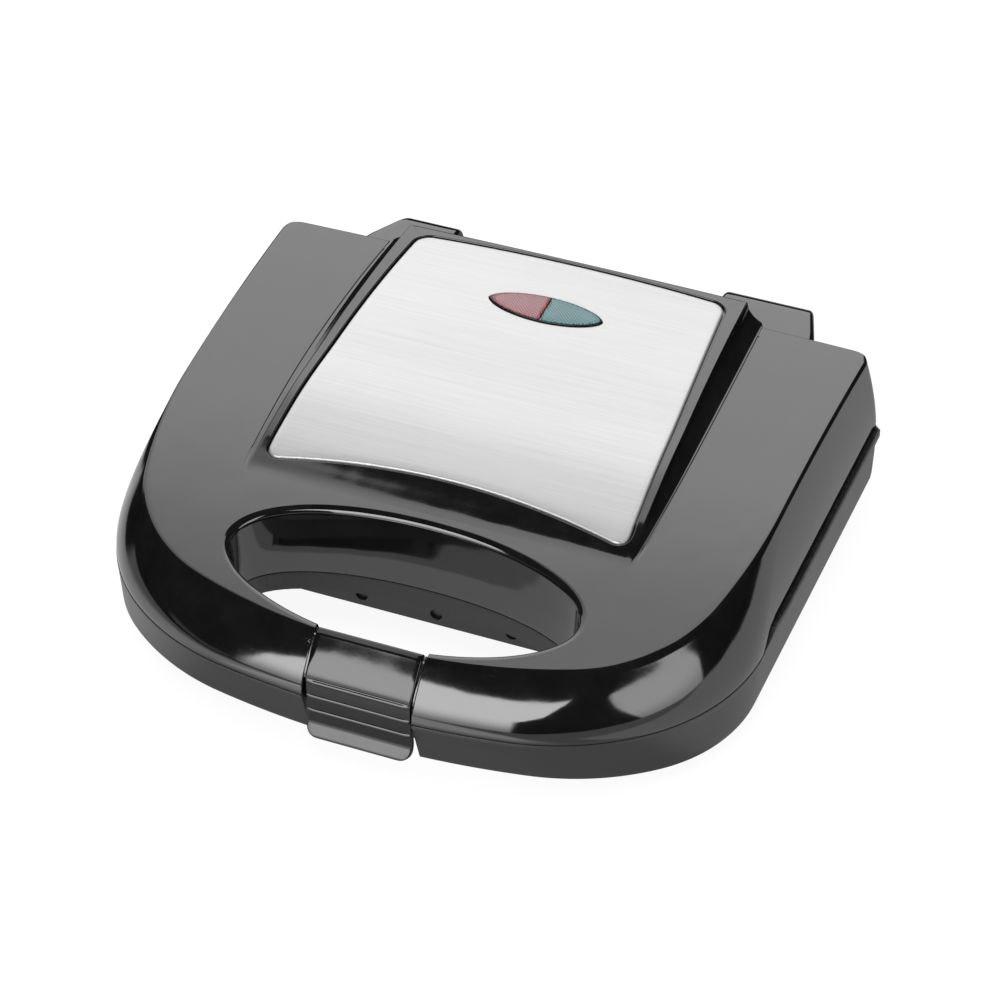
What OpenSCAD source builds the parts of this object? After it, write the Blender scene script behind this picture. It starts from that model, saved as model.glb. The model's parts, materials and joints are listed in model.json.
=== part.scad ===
// Two-sandwich toaster: hinged lid with a steel top panel, twin lamp lens,
// through handle and front latch, over a base with non-stick cooking plates.
// Millimetres. +X right, +Y rear, +Z up. The table is z = 0.

/* [Overall] */
// Width over the parting rim where the straight sides begin
rim_w = 224.8; // [190:0.1:270]
// Depth from the front of the rim to the rear edge of the lid
body_d = 195.3; // [165:0.1:235]
// Height of the parting line between base and lid
parting_h = 25.9; // [25:0.1:30]
// Height of the lid wings at their crest
wing_h = 59.2; // [58:0.1:66]
// Height of the raised centre at its crest
crown_h = 66; // [64:0.1:74]
// Height of the rubber feet
foot_h = 6; // [4:0.1:7]

/* [Shells] */
// Wall thickness of the moulded shells
wall = 2.3; // [1.8:0.1:2.8]
// Thickness of the bottom cover and of the decks round the plates
deck_t = 2; // [1.6:0.1:2.4]
// Gap between parts that move past each other
gap = 0.3; // [0.2:0.05:0.4]
// Clearance between parts that are fixed together
fit = 0.2; // [0.1:0.05:0.3]
// Radius of the rear corners in plan
corner_r = 6; // [3:0.5:8]
// How far the base side lips stand out past the wall
lip_out = 1.4; // [0:0.1:2]
// Height of the base side lips above the parting line
lip_h = 4.4; // [3:0.1:5]
// Distance from the front of the rim to the front tip of the side slots
slot_y = 72; // [66:1:80]

/* [Top panel and lens] */
// Half width of the steel panel at the rear
panel_rear = 56.8; // [50:0.1:60]
// Half width of the steel panel at the front
panel_front = 63.7; // [58:0.1:65]
// Distance from the lid's rear edge to the panel's front corners
panel_d = 121.5; // [110:0.1:125]
// Depth of the hollow curve of the panel's front edge
panel_hollow = 8.3; // [2:0.1:12]
// Thickness of the steel panel
panel_t = 1; // [0.6:0.1:1.4]
// Dark line all round the panel
panel_gap = 0.9; // [0.4:0.1:1.5]
// Half length of the pointed lamp lens
lens_l = 20.4; // [14:0.1:26]
// Half width of the lamp lens
lens_w = 6.7; // [4:0.1:8]
// Distance from the lid's rear edge to the lens centre
lens_y = 27.1; // [22:0.1:40]

/* [Handle opening] */
// Half width of the handle opening
grip_a = 60.7; // [45:0.1:66]
// Depth of the opening in front of its centre line
grip_front = 25.4; // [20:0.1:26]
// Depth of the opening behind its centre line
grip_rear = 24; // [20:0.1:26]
// Distance from the front of the rim to the opening's centre line
grip_y = 39.3; // [38:0.1:44]
// Draft of the opening's wall from top to bottom
grip_draft = 2; // [0.5:0.1:3]

/* [Hinge] */
// Distance from the lid's rear edge back to the hinge axis
hinge_back = 6.1; // [5:0.1:8]
// Height of the hinge axis above the table
hinge_h = 35; // [33:0.1:36]
// Outer radius of the two ears round the hinge axis
ear_r = 22.8; // [20:0.1:24]
// Inner side of each ear
ear_x0 = 49.7; // [40:0.1:56]
// Outer side of each ear
ear_x1 = 78.9; // [68:0.1:84]
// Radius of the hinge pins
pin_r = 2.5; // [1.5:0.1:3.5]
// Radial clearance of pins that turn
run_fit = 0.05; // [0.01:0.01:0.1]
// Radius of the base knuckles
knuckle_r = 8; // [6:0.5:12]

/* [Latch] */
// Half width of the latch
latch_w = 17.2; // [12:0.1:20]
// Thickness of the latch shell
latch_t = 2.2; // [1.6:0.1:2.6]
// How far the latch tab flares out past the rim
latch_proud = 4; // [2:0.1:6]
// Height of the latch tab's lower edge
latch_z = 12; // [9:0.1:14]
// Gap beside the latch in the lid
latch_gap = 1.7; // [0.8:0.1:2]
// Radius of the latch pin
latch_pin_r = 1.6; // [1:0.1:2]

/* [Cooking plates] */
// Distance from the base's side to the edge of the plate flange
plate_side = 15.4; // [13:0.1:20]
// Height of the mating plane above the parting line
plate_rise = 3.1; // [2.5:0.1:4]
// Wall of the cast plate under the pockets
plate_wall = 2.5; // [2:0.1:3]
// How far the flange reaches past the plate's body
flange_w = 6; // [4:0.1:8]
// Land between a pocket and the edge of the plate's body
land = 3.5; // [3:0.1:6]
// Width of the ridges that divide the pockets
ridge = 6; // [5:0.1:10]
// Corner radius of the plate flange
plate_r = 9; // [6:0.5:14]
// Taper of the pocket walls from rim to floor
pocket_taper = 4; // [2:0.1:6]

/* [Inside] */
// Radius of the tubular heating elements
heater_r = 2.9; // [2.5:0.1:3]
// Thickness of the heat reflectors
reflector_t = 0.5; // [0.4:0.1:0.6]
// Radius of the thermostats
stat_r = 9; // [6:0.5:12]
// Height of the thermostats
stat_h = 5.2; // [4:0.1:5.4]
// Radius of the screw shanks
screw_r = 1.3; // [1:0.1:1.6]
// Radius of the screw heads
head_r = 2.9; // [2.4:0.1:3.2]
// Radius of the cord inlet's bore
cord_r = 3.5; // [3:0.1:4]
// Radius of the feet
foot_r = 6.5; // [5:0.1:8]

/* [Hidden] */
$fn = 64;

// Depth over all, with the latch tab and the hinge ears, centred on y = 0
total_d = latch_proud + body_d + hinge_back + ear_r;
front_y = latch_proud - total_d / 2;
rear_y = front_y + body_d;
hinge_y = rear_y + hinge_back;

// Plan outlines: front arc, shoulder arc with its end angle, corner arc with
// its end angle. The straight side follows. Fields: front y, half width at
// the start of the side, r1, r2, a2, r3, a3.
rim = [front_y, rim_w / 2, 296, 83.3, 40.1, 66, 89.3];
foot_line = [front_y + 6, rim_w / 2 - 1.2, 298, 83.2, 40.1, 52, 89.3];
top_line = [front_y + 12, rim_w / 2 - 6.05, 213, 52.2, 75.6, 207, 88.5];
// Half width of the rim at the rear edge of the lid
rear_x = rim_w / 2 + 1.6;

// Crown curves of the wings and of the raised centre
wing_r = 650 * pow(body_d / 195.3, 2);
wing_y = rear_y - 40.3;
crown_r = 400 * pow(body_d / 195.3, 2);
crown_y = rear_y - 23.7;
// How far the raised centre stands behind the wings
brow_back = 2.6;
function wing_z(y) =
  wing_h - wing_r + sqrt(pow(wing_r, 2) - pow(y - wing_y, 2));
function crown_z(y) =
  crown_h - crown_r + sqrt(pow(crown_r, 2) - pow(y - crown_y, 2));

// Heights of the stack of cooking parts
cover_z = foot_h + deck_t;
mate_z = parting_h + plate_rise;
heat_z = cover_z + 2 * fit + reflector_t + fit;
plate_back = heat_z + 2 * heater_r + fit;
pocket_d = mate_z - plate_back - plate_wall;
mirror_z = mate_z + gap / 2;
base_top = parting_h - gap / 2;
lid_low = parting_h + gap / 2;
flange_z = base_top + fit;
frame_z = 2 * mirror_z - base_top;

// Axis of the latch pin, radius of its boss, and half the span of the cheeks
latch_y = front_y + 10;
latch_h = parting_h + 7.6;
boss_r = latch_pin_r + 1.3;
hook_z = parting_h - 6.7;
cheek_x = latch_w - 3.5;

// Plan of the plates
plate_x = rim_w / 2 - plate_side;
grip_back = front_y + grip_y + grip_rear;
tub_y = grip_back + 3.8;
plate_y0 = tub_y + wall + 3.5;
plate_y1 = rear_y - wall - 4;
plate_yc = (plate_y0 + plate_y1) / 2;

// Places of the screws, of the lamps and of the cord inlet
screw_x = rim_w / 2 - 9.6;
screw_y = [plate_y0 + 20, plate_y1 - 22];
cord_x = -(rim_w / 2 - 14.4);
cord_z = foot_h + 11;
lens_c = rear_y - lens_y;

// ---------------------------------------------------------------- curves

// Angle where the front arc of an outline hands over to the shoulder arc
function hand(c) =
  asin((c[1] - c[5] * (sin(c[6]) - sin(c[4])) - c[3] * sin(c[4]))
    / (c[2] - c[3]));

function dir(a) = [sin(a), -cos(a)];

// Point of outline c whose tangent has turned by angle a
function on_line(c, a) =
  let (
    a1 = hand(c),
    m1 = [0, c[0] + c[2]],
    m2 = m1 + (c[2] - c[3]) * dir(a1),
    m3 = m2 + (c[3] - c[5]) * dir(c[4])
  )
  a < a1 ? m1 + c[2] * dir(a)
    : a < c[4] ? m2 + c[3] * dir(a)
    : m3 + c[5] * dir(min(a, c[6]));

// Outline c moved inwards by t
function inset(c, t) =
  [c[0] + t, c[1] - t, c[2] - t, c[3] - t, c[4], c[5] - t, c[6]];

// Right half of outline c from the front centre to y_end
arc_n = 26;
side_n = 8;
function half_line(c, y_end) =
  let (e = on_line(c, c[6]), s = tan(90 - c[6]))
  concat(
    [for (i = [0:arc_n]) on_line(c, 0.4 + (c[6] - 0.4) * pow(i / arc_n, 1.3))],
    [for (i = [1:side_n])
      let (d = (y_end - e[1]) * i / side_n) [e[0] + s * d, e[1] + d]]
  );

function at_z(line, z) = [for (p = line) [p[0], p[1], z]];

// Shoulder between the lid's crisp top edge and its rim: a cubic curve that
// leaves the edge at 35.5 degrees and meets the rim upright
function bez(s, p1, p2) =
  3 * pow(1 - s, 2) * s * p1 + 3 * (1 - s) * s * s * p2 + pow(s, 3);
function shoulder(s, t, dz) =
  let (
    u = bez(s, 0.414, 1),
    v = bez(s, 0.295, 0.669),
    a = half_line(inset(top_line, t), rear_y + 12),
    b = half_line(inset(rim, t), rear_y + 12)
  )
  [for (i = [0:len(a) - 1])
    let (zt = wing_z(a[i][1]) - dz)
    [a[i][0] * (1 - u) + b[i][0] * u, a[i][1] * (1 - u) + b[i][1] * u,
      zt * (1 - v) + (parting_h + 0.45) * v]];

// Half of a rounded oval with the exponents of its front and rear
function oval(a, f, r, yc) =
  [for (i = [0:36])
    let (
      t = -88 + 176 * i / 36,
      c = cos(t),
      s = sin(t),
      n = s > 0 ? 2.09 : 1.9
    )
    [a * pow(c, 2 / n), yc + (s > 0 ? r : f) * sign(s) * pow(abs(s), 2 / n)]];

// Raised centre: foot line and top edge, as half widths over y
function bow_x(y) =
  let (m = rear_y - 65.3) 70.4 - (y < m ? 2.2 : 1.2) * pow((y - m) / 60, 2);
function brow_x(y) = 62.8 + 4.4 * (rear_y - y) / 120;
function panel_x(u) =
  panel_rear + (panel_front - panel_rear) * u + 3.4 * u * (1 - u);

// ---------------------------------------------------------------- solids

// Solid through symmetric rings, lowest first. Each ring is a right half,
// from the front centre to the rear.
module loft(rings) {
  n = len(rings[0]);
  m = len(rings);
  nn = 2 * n;
  pts = [for (r = rings) each concat(r,
    [for (i = [n - 1:-1:0]) [-r[i][0], r[i][1], r[i][2]]])];
  sides = [for (k = [0:m - 2], i = [0:nn - 1])
    let (
      a = k * nn + i,
      b = k * nn + (i + 1) % nn,
      c = b + nn,
      d = a + nn
    )
    each [[a, d, c], [a, c, b]]];
  low = [for (i = [0:n - 2]) [i, i + 1, nn - 2 - i, nn - 1 - i]];
  t = (m - 1) * nn;
  high = [for (i = [0:n - 2])
    [t + nn - 1 - i, t + nn - 2 - i, t + i + 1, t + i]];
  polyhedron(points = pts, faces = concat(sides, low, high), convexity = 6);
}

// Flat shape whose points are [y, z], run along X from x0 to x1
module along_x(x0, x1) {
  translate([x0, 0, 0])
    rotate([90, 0, 90])
      linear_extrude(x1 - x0) children();
}

// Rounded rectangle as points, for plates and sheets
function round_box(x0, x1, y0, y1, r) =
  let (m = 8)
  [for (q = [0:3], i = [0:m])
    let (
      a = -90 + 90 * (q + i / m),
      cx = q < 2 ? x1 - r : x0 + r,
      cy = q == 0 || q == 3 ? y0 + r : y1 - r
    )
    [cx + r * cos(a), cy + r * sin(a)]];

// Rear edge of the shells at x, a shallow bow
function rear_at(x) = rear_y + 1.7 * (1 - pow(x / (rear_x - corner_r), 2));

// Plan that trims the rear, with rounded corners
module rear_plan(z0, z1) {
  r = corner_r;
  turn = [for (i = [0:6]) 15 + 73 * i / 6];
  translate([0, 0, z0])
    linear_extrude(z1 - z0)
      polygon(concat(
        [[-300, -300], [300, -300], [300, rear_y - 60]],
        [for (a = turn) [rear_x - r + r * cos(a), rear_y - r + r * sin(a)]],
        [for (i = [1:9])
          let (x = (rear_x - r) * (1 - i / 5)) [x, rear_at(x)]],
        [for (i = [6:-1:0])
          let (a = turn[i])
          [-rear_x + r - r * cos(a), rear_y - r + r * sin(a)]],
        [[-300, rear_y - 60]]
      ));
}

// Lower limit of the lid and upper limit of the base, seen from the side
function split_line(z0, z1) =
  [[front_y - 20, z0], [front_y + slot_y, z0],
    [front_y + slot_y + 9, z1], [rear_y + 20, z1]];

// Solid of the lid, moved inwards by t, its wings lowered by dz and its
// raised centre by db. The shoulder and the crown are its top rings.
module lid_form(t, dz, db) {
  intersection() {
    loft(concat(
      [at_z(half_line(inset(rim, t), rear_y + 12), parting_h - 6)],
      [for (s = [1, 0.86, 0.72, 0.58, 0.44, 0.3, 0.15, 0])
        shoulder(s, t, dz)]
    ));
    translate([0, -t, 0]) rear_plan(0, 90);
  }
  intersection() {
    loft([
      for (k = [[0, -1], [0, 0], [0.45, 0.16], [0.8, 0.5], [1, 1]])
        brow_ring(k[0], k[1], t, db)
    ]);
    translate([0, brow_back - t, 0]) rear_plan(0, 90);
  }
}

// One ring of the raised centre: k runs from its foot to its top edge, and
// the height follows kz. Its hollow flanks fade out towards the front.
function brow_ring(k, kz, t, db) =
  [for (i = [0:20])
    let (
      y = rear_y - 125.7 + i * (125.7 + 12) / 20,
      zc = crown_z(y),
      zf = min(wing_z(y), zc) - 0.4,
      xf = bow_x(y) - t,
      xt = min(xf - 0.2, brow_x(y) - t)
    )
    [xf + (xt - xf) * k, y,
      kz < 0 ? parting_h + lip_h + 1 - db : zf + (zc - zf) * kz - db]];

// Outer form of the base, moved inwards by t
module base_form(t) {
  intersection() {
    loft([
      at_z(half_line(inset(foot_line, t + 0.8), rear_y + 12), foot_h),
      at_z(half_line(inset(foot_line, t), rear_y + 12), foot_h + 1),
      at_z(half_line(inset(rim, t), rear_y + 12), base_top),
      lip_ring(t, base_top + 1.5),
      lip_ring(t, parting_h + lip_h)
    ]);
    translate([0, -t, 0]) rear_plan(0, 90);
    along_x(-200, 200)
      polygon(concat(
        heel(t),
        split_line(base_top, parting_h + lip_h)
      ));
  }
}

// Bevel under the rear edge of the base, seen from the side
function heel(t) =
  [[rear_y + 20, foot_h + 16 + 1.3 * t], [rear_y - 1 - t, foot_h + 5],
    [rear_y - 6 - 1.3 * t, foot_h - 1], [front_y - 20, foot_h - 1]];

// Base outline with the side lips standing out, behind the slot's tip
function lip_ring(t, z) =
  [for (p = half_line(inset(rim, t), rear_y + 12))
    let (s = min(1, max(0, (p[1] - front_y - slot_y) / 24)))
    [p[0] + (p[0] > rim_w / 4 ? lip_out * s * (2 - s) : 0), p[1], z]];

// Handle opening, grown outwards by t, between heights z0 and z1
module grip(t, z0, z1) {
  yc = front_y + grip_y;
  loft([for (z = [z0, z1])
    let (d = t + grip_draft * (z - parting_h - 27) / 27)
    at_z(oval(grip_a + d, grip_front + d, grip_rear + d, yc), z)]);
}

// Round bar along X
module bar_x(x0, x1, y, z, r) {
  translate([x0, y, z]) rotate([0, 90, 0]) cylinder(h = x1 - x0, r = r);
}

// ---------------------------------------------------------------- hinge

// Side view of an ear: a quarter round over the hinge axis, joined to the lid
module ear_side(r) {
  intersection() {
    union() {
      translate([hinge_y, hinge_h]) circle(r = r);
      translate([rear_y - 4, hinge_h]) square([hinge_back + 4, r]);
    }
    translate([rear_y - 4, hinge_h]) square([60, 60]);
  }
}

module ear(s) {
  x0 = s > 0 ? ear_x0 : -ear_x1;
  x1 = s > 0 ? ear_x1 : -ear_x0;
  difference() {
    union() {
      along_x(x0, x1)
        difference() {
          ear_side(ear_r);
          translate([hinge_y, hinge_h]) circle(r = ear_r - wall);
          translate([rear_y - 8, hinge_h - 1]) square([hinge_back + 8,
            ear_r - wall + 1 - 0.4]);
        }
      for (x = [x0, x1 - wall])
        along_x(x, x + wall)
          union() {
            intersection() {
              ear_side(ear_r);
              translate([rear_y - 1, 0]) square([60, 90]);
            }
            translate([hinge_y, hinge_h]) circle(r = hinge_back - 0.8);
          }
    }
    bar_x(x0 - 1, x1 + 1, hinge_y, hinge_h, pin_r + run_fit);
  }
}

// Space of radius r round the base knuckle inside an ear
module ear_space(s, r) {
  x0 = (s > 0 ? ear_x0 : -ear_x1) + wall;
  bar_x(x0, x0 + ear_x1 - ear_x0 - 2 * wall, hinge_y, hinge_h, r);
}

// Post on the base that carries one hinge pin
module hinge_post(s) {
  w = ear_x1 - ear_x0 - 2 * wall - 2 * gap;
  x0 = (s > 0 ? ear_x0 : -ear_x1) + wall + gap;
  difference() {
    union() {
      along_x(x0, x0 + w)
        polygon([
          [rear_y - wall, hinge_h - 17], [rear_y + 4, hinge_h - 17],
          [hinge_y + knuckle_r, hinge_h], [hinge_y - knuckle_r, hinge_h],
          [rear_y - wall, hinge_h - 6]
        ]);
      bar_x(x0, x0 + w, hinge_y, hinge_h, knuckle_r);
    }
    bar_x(x0 - 1, x0 + w + 1, hinge_y, hinge_h, pin_r + run_fit);
  }
}

module hinge_pin(s) {
  x0 = (s > 0 ? ear_x0 : -ear_x1) + 0.5;
  color("silver")
    bar_x(x0, x0 + ear_x1 - ear_x0 - 1, hinge_y, hinge_h, pin_r);
}

module hinge_pin_left() {
  hinge_pin(-1);
}

module hinge_pin_right() {
  hinge_pin(1);
}

// ---------------------------------------------------------------- base

// Places of the four screws of a deck
module at_screws() {
  for (x = [-screw_x, screw_x], y = screw_y)
    translate([x, y, 0]) children();
}

// Prism over a plan
module slab(points, z0, z1) {
  translate([0, 0, z0]) linear_extrude(z1 - z0) polygon(points);
}

// Plan of the plate flange or of the plate's body, grown by t
function plate_plan(t, r) =
  round_box(-plate_x - t, plate_x + t, plate_y0 - t, plate_y1 + t, r + t);

// Block behind the latch and the walls beside it, seen from the side
module base_latch_block() {
  w = latch_w + latch_gap + 1;
  along_x(-w - wall, w + wall)
    polygon([
      [front_y - 9, hook_z], [front_y + 17, hook_z],
      [front_y + 17, base_top], [front_y - 9, base_top]
    ]);
  for (s = [-1, 1])
    along_x(s * (w + wall / 2) - wall / 2, s * (w + wall / 2) + wall / 2)
      polygon([
        [front_y - 9, 0], [front_y + 9, 0],
        [front_y + 9, base_top], [front_y - 9, base_top]
      ]);
}

module base_shell() {
  w = latch_w + latch_gap + 1;
  color("#242426")
    difference() {
      union() {
        difference() {
          base_form(0);
          difference() {
            base_hollow();
            grip(wall, parting_h - 7, parting_h + 1);
            translate([-150, tub_y, 0]) cube([300, wall, base_top]);
            at_screws()
              translate([0, 0, cover_z + 3 + fit])
                cylinder(h = base_top, r = 4);
            base_latch_block();
          }
          intersection() {
            slab([for (p = [[-1, 0], [1, 0]]) [p[0] * 300, front_y + slot_y],
              [300, 300], [-300, 300]], base_top, 60);
            translate([0, -wall, 0]) rear_plan(0, 90);
            slab(both(half_line(inset(rim, wall), rear_y + 12)), 0, 90);
          }
        }
        hinge_post(-1);
        hinge_post(1);
      }
      slab(plate_plan(1 - flange_w, plate_r), 10, 60);
      grip(0, 0, 40);
      along_x(-w, w)
        polygon([
          [front_y - 20, 0], [front_y + 9.5, 0], [front_y + 9.5, hook_z],
          [front_y + 6.5, hook_z], [front_y + 6.5, 40], [front_y - 20, 40]
        ]);
      at_screws()
        cylinder(h = base_top - deck_t, r = screw_r);
      translate([cord_x, rear_y - 20, cord_z])
        rotate([-90, 0, 0])
          cylinder(h = 40, r = cord_r + 1.3);
      for (x = [-27, 0, 27])
        translate([x, tub_y - 1, foot_h + 4.5])
          rotate([-90, 0, 0])
            cylinder(h = 2.2, r = 2.2);
    }
}

// Mirrored copy of a right half, as one closed outline
function both(h) =
  concat(h, [for (i = [len(h) - 1:-1:0]) [-h[i][0], h[i][1]]]);

// Room under the deck of the base
module base_hollow() {
  intersection() {
    loft([
      at_z(half_line(inset(foot_line, wall + 0.2), rear_y + 12), foot_h - 1),
      at_z(half_line(inset(rim, wall), rear_y + 12), base_top - deck_t)
    ]);
    translate([0, -wall, 0]) rear_plan(0, 90);
    along_x(-200, 200)
      polygon(concat(heel(wall), [[front_y - 20, 90], [rear_y + 20, 90]]));
  }
}

module bottom_cover() {
  y1 = rear_y - 6 - 1.3 * wall - gap;
  color("#2b2b2d")
    difference() {
      union() {
        intersection() {
          slab(both(half_line(inset(foot_line, wall + 0.2 + gap),
            rear_y + 12)), foot_h, cover_z);
          translate([-150, tub_y + wall + gap, 0])
            cube([300, y1 - tub_y - wall - gap, 20]);
        }
        at_screws()
          translate([0, 0, foot_h]) cylinder(h = deck_t + 3, r = 5);
      }
      at_screws() cylinder(h = 40, r = screw_r + fit);
      at_screws() cylinder(h = foot_h + deck_t + 0.8, r = head_r + fit);
    }
}

// Rounded screw with its head down, its top at z1
module screw(x, y, z0, z1) {
  color("silver")
    translate([x, y, z0]) {
      cylinder(h = 1.8, r = head_r);
      cylinder(h = z1 - z0, r = screw_r - 0.05);
    }
}

module base_screw(x, y) {
  screw(x, y, foot_h + deck_t - 1.1, cover_z + 12);
}

module base_screw_fl() {
  base_screw(-screw_x, screw_y[0]);
}

module base_screw_fr() {
  base_screw(screw_x, screw_y[0]);
}

module base_screw_rl() {
  base_screw(-screw_x, screw_y[1]);
}

module base_screw_rr() {
  base_screw(screw_x, screw_y[1]);
}

module foot(x, y) {
  color("#161616")
    translate([x, y, 0]) cylinder(h = foot_h, r1 = foot_r - 0.8, r2 = foot_r);
}

module foot_fl() {
  foot(-51, tub_y + 11.8);
}

module foot_fr() {
  foot(51, tub_y + 11.8);
}

module foot_rl() {
  foot(-80, plate_y1 - 12);
}

module foot_rr() {
  foot(80, plate_y1 - 12);
}

// Rubber bush that the mains cord passes through
module cord_grommet() {
  yw = rear_at(cord_x);
  color("#1a1a1a")
    translate([cord_x, yw, cord_z])
      rotate([-90, 0, 0])
        difference() {
          union() {
            translate([0, 0, -wall - 2]) cylinder(h = wall + 4.2, r = cord_r + 1.2);
            translate([0, 0, 0.4]) cylinder(h = 2, r = cord_r + 2.4);
            translate([0, 0, -wall - 2]) cylinder(h = 1.5, r = cord_r + 2.4);
          }
          translate([0, 0, -20]) cylinder(h = 40, r = cord_r);
        }
}

module terminal_block() {
  color("ivory")
    difference() {
      translate([screw_x - 4.5, plate_yc - 12, cover_z + fit])
        cube([9, 24, 9]);
      for (i = [-1:1])
        translate([screw_x, plate_yc + 7 * i, cover_z + 4])
          cylinder(h = 20, r = 1.8);
    }
}

// ---------------------------------------------------------------- plates

function unit(v) = v / norm(v);

// Corners of polygon p, moved inwards by t and rounded to radius r.
// The corners run anticlockwise.
function round_poly(p, t, r) =
  let (n = len(p), m = 5)
  [for (i = [0:n - 1])
    let (
      a = unit(p[i] - p[(i + n - 1) % n]),
      b = unit(p[(i + 1) % n] - p[i]),
      na = [a[1], -a[0]],
      nb = [b[1], -b[0]],
      c = p[i] - (r + t) * (na + nb) / (1 + na * nb),
      a0 = atan2(na[1], na[0]),
      turn = acos(na * nb)
    )
    for (k = [0:m])
      c + r * [cos(a0 + turn * k / m), sin(a0 + turn * k / m)]];

// Solid between outline a at height za and outline b at height zb
module frustum(a, b, za, zb) {
  n = len(a);
  pts = concat(at_z(a, za), at_z(b, zb));
  faces = concat(
    [[for (i = [0:n - 1]) i]],
    [[for (i = [n - 1:-1:0]) n + i]],
    [for (i = [0:n - 1])
      each [[i, n + i, n + (i + 1) % n], [i, n + (i + 1) % n, (i + 1) % n]]]
  );
  polyhedron(points = pts, faces = faces, convexity = 4);
}

// The two triangular pockets of the right half, as corners
px0 = ridge / 2;
px1 = plate_x - flange_w - land;
py0 = plate_y0 + flange_w + land;
py1 = plate_y1 - flange_w - land;
cut = ridge * 0.72;
tri_a = [[px0 + cut, py0], [px1, py0], [px1, py1 - cut]];
tri_b = [[px1 - cut, py1], [px0, py1], [px0, py0 + cut]];

// The four pockets, grown by t, from depth d up to height z1
module pockets(t, z0, z1) {
  k = pocket_taper / pocket_d;
  for (s = [0, 1], p = [tri_a, tri_b])
    mirror([s, 0, 0])
      frustum(
        round_poly(p, -t + k * (mate_z - z0), 5),
        round_poly(p, -t + k * (mate_z - z1), 5),
        z0, z1
      );
}

module plate() {
  difference() {
    union() {
      slab(plate_plan(0, plate_r), flange_z, mate_z);
      pockets(plate_wall, plate_back, flange_z + 0.6);
    }
    pockets(0, mate_z - pocket_d, mate_z + 1);
  }
}

module plate_lower() {
  color("#3a3a3c") plate();
}

// U-shaped tubular element with its two terminals at the rear
module heater() {
  x = 56;
  r = 22;
  y0 = plate_y0 + 16;
  y1 = plate_y1 - 12;
  z = heat_z + heater_r;
  for (s = [-1, 1]) {
    translate([s * x, y0 + r, z])
      rotate([-90, 0, 0])
        cylinder(h = y1 - y0 - r, r = heater_r);
    translate([s * x, y1, z])
      rotate([-90, 0, 0])
        cylinder(h = 7, r = 1.5);
    translate([s * (x - r), y0 + r, z])
      rotate([0, 0, s > 0 ? -90 : 180])
        rotate_extrude(angle = 90)
          translate([r, 0]) circle(r = heater_r);
  }
  bar_x(-(x - r), x - r, y0, z, heater_r);
}

module heater_lower() {
  color("#8a8a8c") heater();
}

module reflector() {
  slab(round_box(-plate_x + 12, plate_x - 12, plate_y0 + 8,
    plate_y1 - 6, 10), heat_z - fit - reflector_t, heat_z - fit);
}

module reflector_lower() {
  color("#c8c8ca") reflector();
}

module thermostat() {
  translate([0, plate_yc, plate_back - fit - stat_h]) {
    cylinder(h = stat_h, r = stat_r);
    for (s = [-1, 1])
      translate([s * (stat_r + 2) - 3, -2.5, stat_h - 1])
        cube([6, 5, 0.8]);
  }
}

module thermostat_lower() {
  color("#d8d2c4") thermostat();
}

module thermal_fuse() {
  color("#e8e4d8")
    bar_x(-7, 7, plate_yc - 24, plate_back - fit - 2, 2);
}

// ---------------------------------------------------------------- lid

// Copy of a base part turned over into the lid
module turned() {
  translate([0, 0, 2 * mirror_z]) mirror([0, 0, 1]) children();
}

// Plan of the steel panel, grown by t
module panel_plan(t) {
  ya = rear_y - panel_d;
  yb = rear_y - 1.7;
  side = [for (i = [0:12]) [panel_x(1 - i / 12), ya + (yb - ya) * i / 12]];
  front = [for (i = [1:11])
    let (x = -panel_front + panel_front * 2 * i / 12)
    [x, ya + panel_hollow * (1 - pow(x / panel_front, 2))]];
  back = [for (i = [1:11])
    let (x = panel_rear - panel_rear * 2 * i / 12)
    [x, yb + 3.1 * (1 - pow(x / panel_rear, 2))]];
  offset(delta = t)
    offset(r = 5, $fn = 40)
      offset(delta = -5)
        polygon(concat(front, side, back,
          [for (i = [12:-1:0]) [-side[i][0], side[i][1]]]));
}

// Everything under the crown surface lowered by t
module under_crown(t) {
  bar_x(-120, 120, crown_y, crown_h - crown_r, crown_r - t, $fn = 360);
}

// Pointed oval of the lamp lens, grown by t
module lens_plan(t) {
  r = (pow(lens_l, 2) + pow(lens_w, 2)) / (2 * lens_w);
  intersection() {
    translate([0, lens_c + r - lens_w]) circle(r = r + t, $fn = 180);
    translate([0, lens_c - r + lens_w]) circle(r = r + t, $fn = 180);
  }
}

// Side view of the bar behind the latch in the lid
bar_side = [
  [front_y + 18, 10], [front_y + 18, 31.4], [latch_y - 1, 31.4],
  [front_y + 4.6, 28.5], [front_y + 4.6, 10]
];

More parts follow.
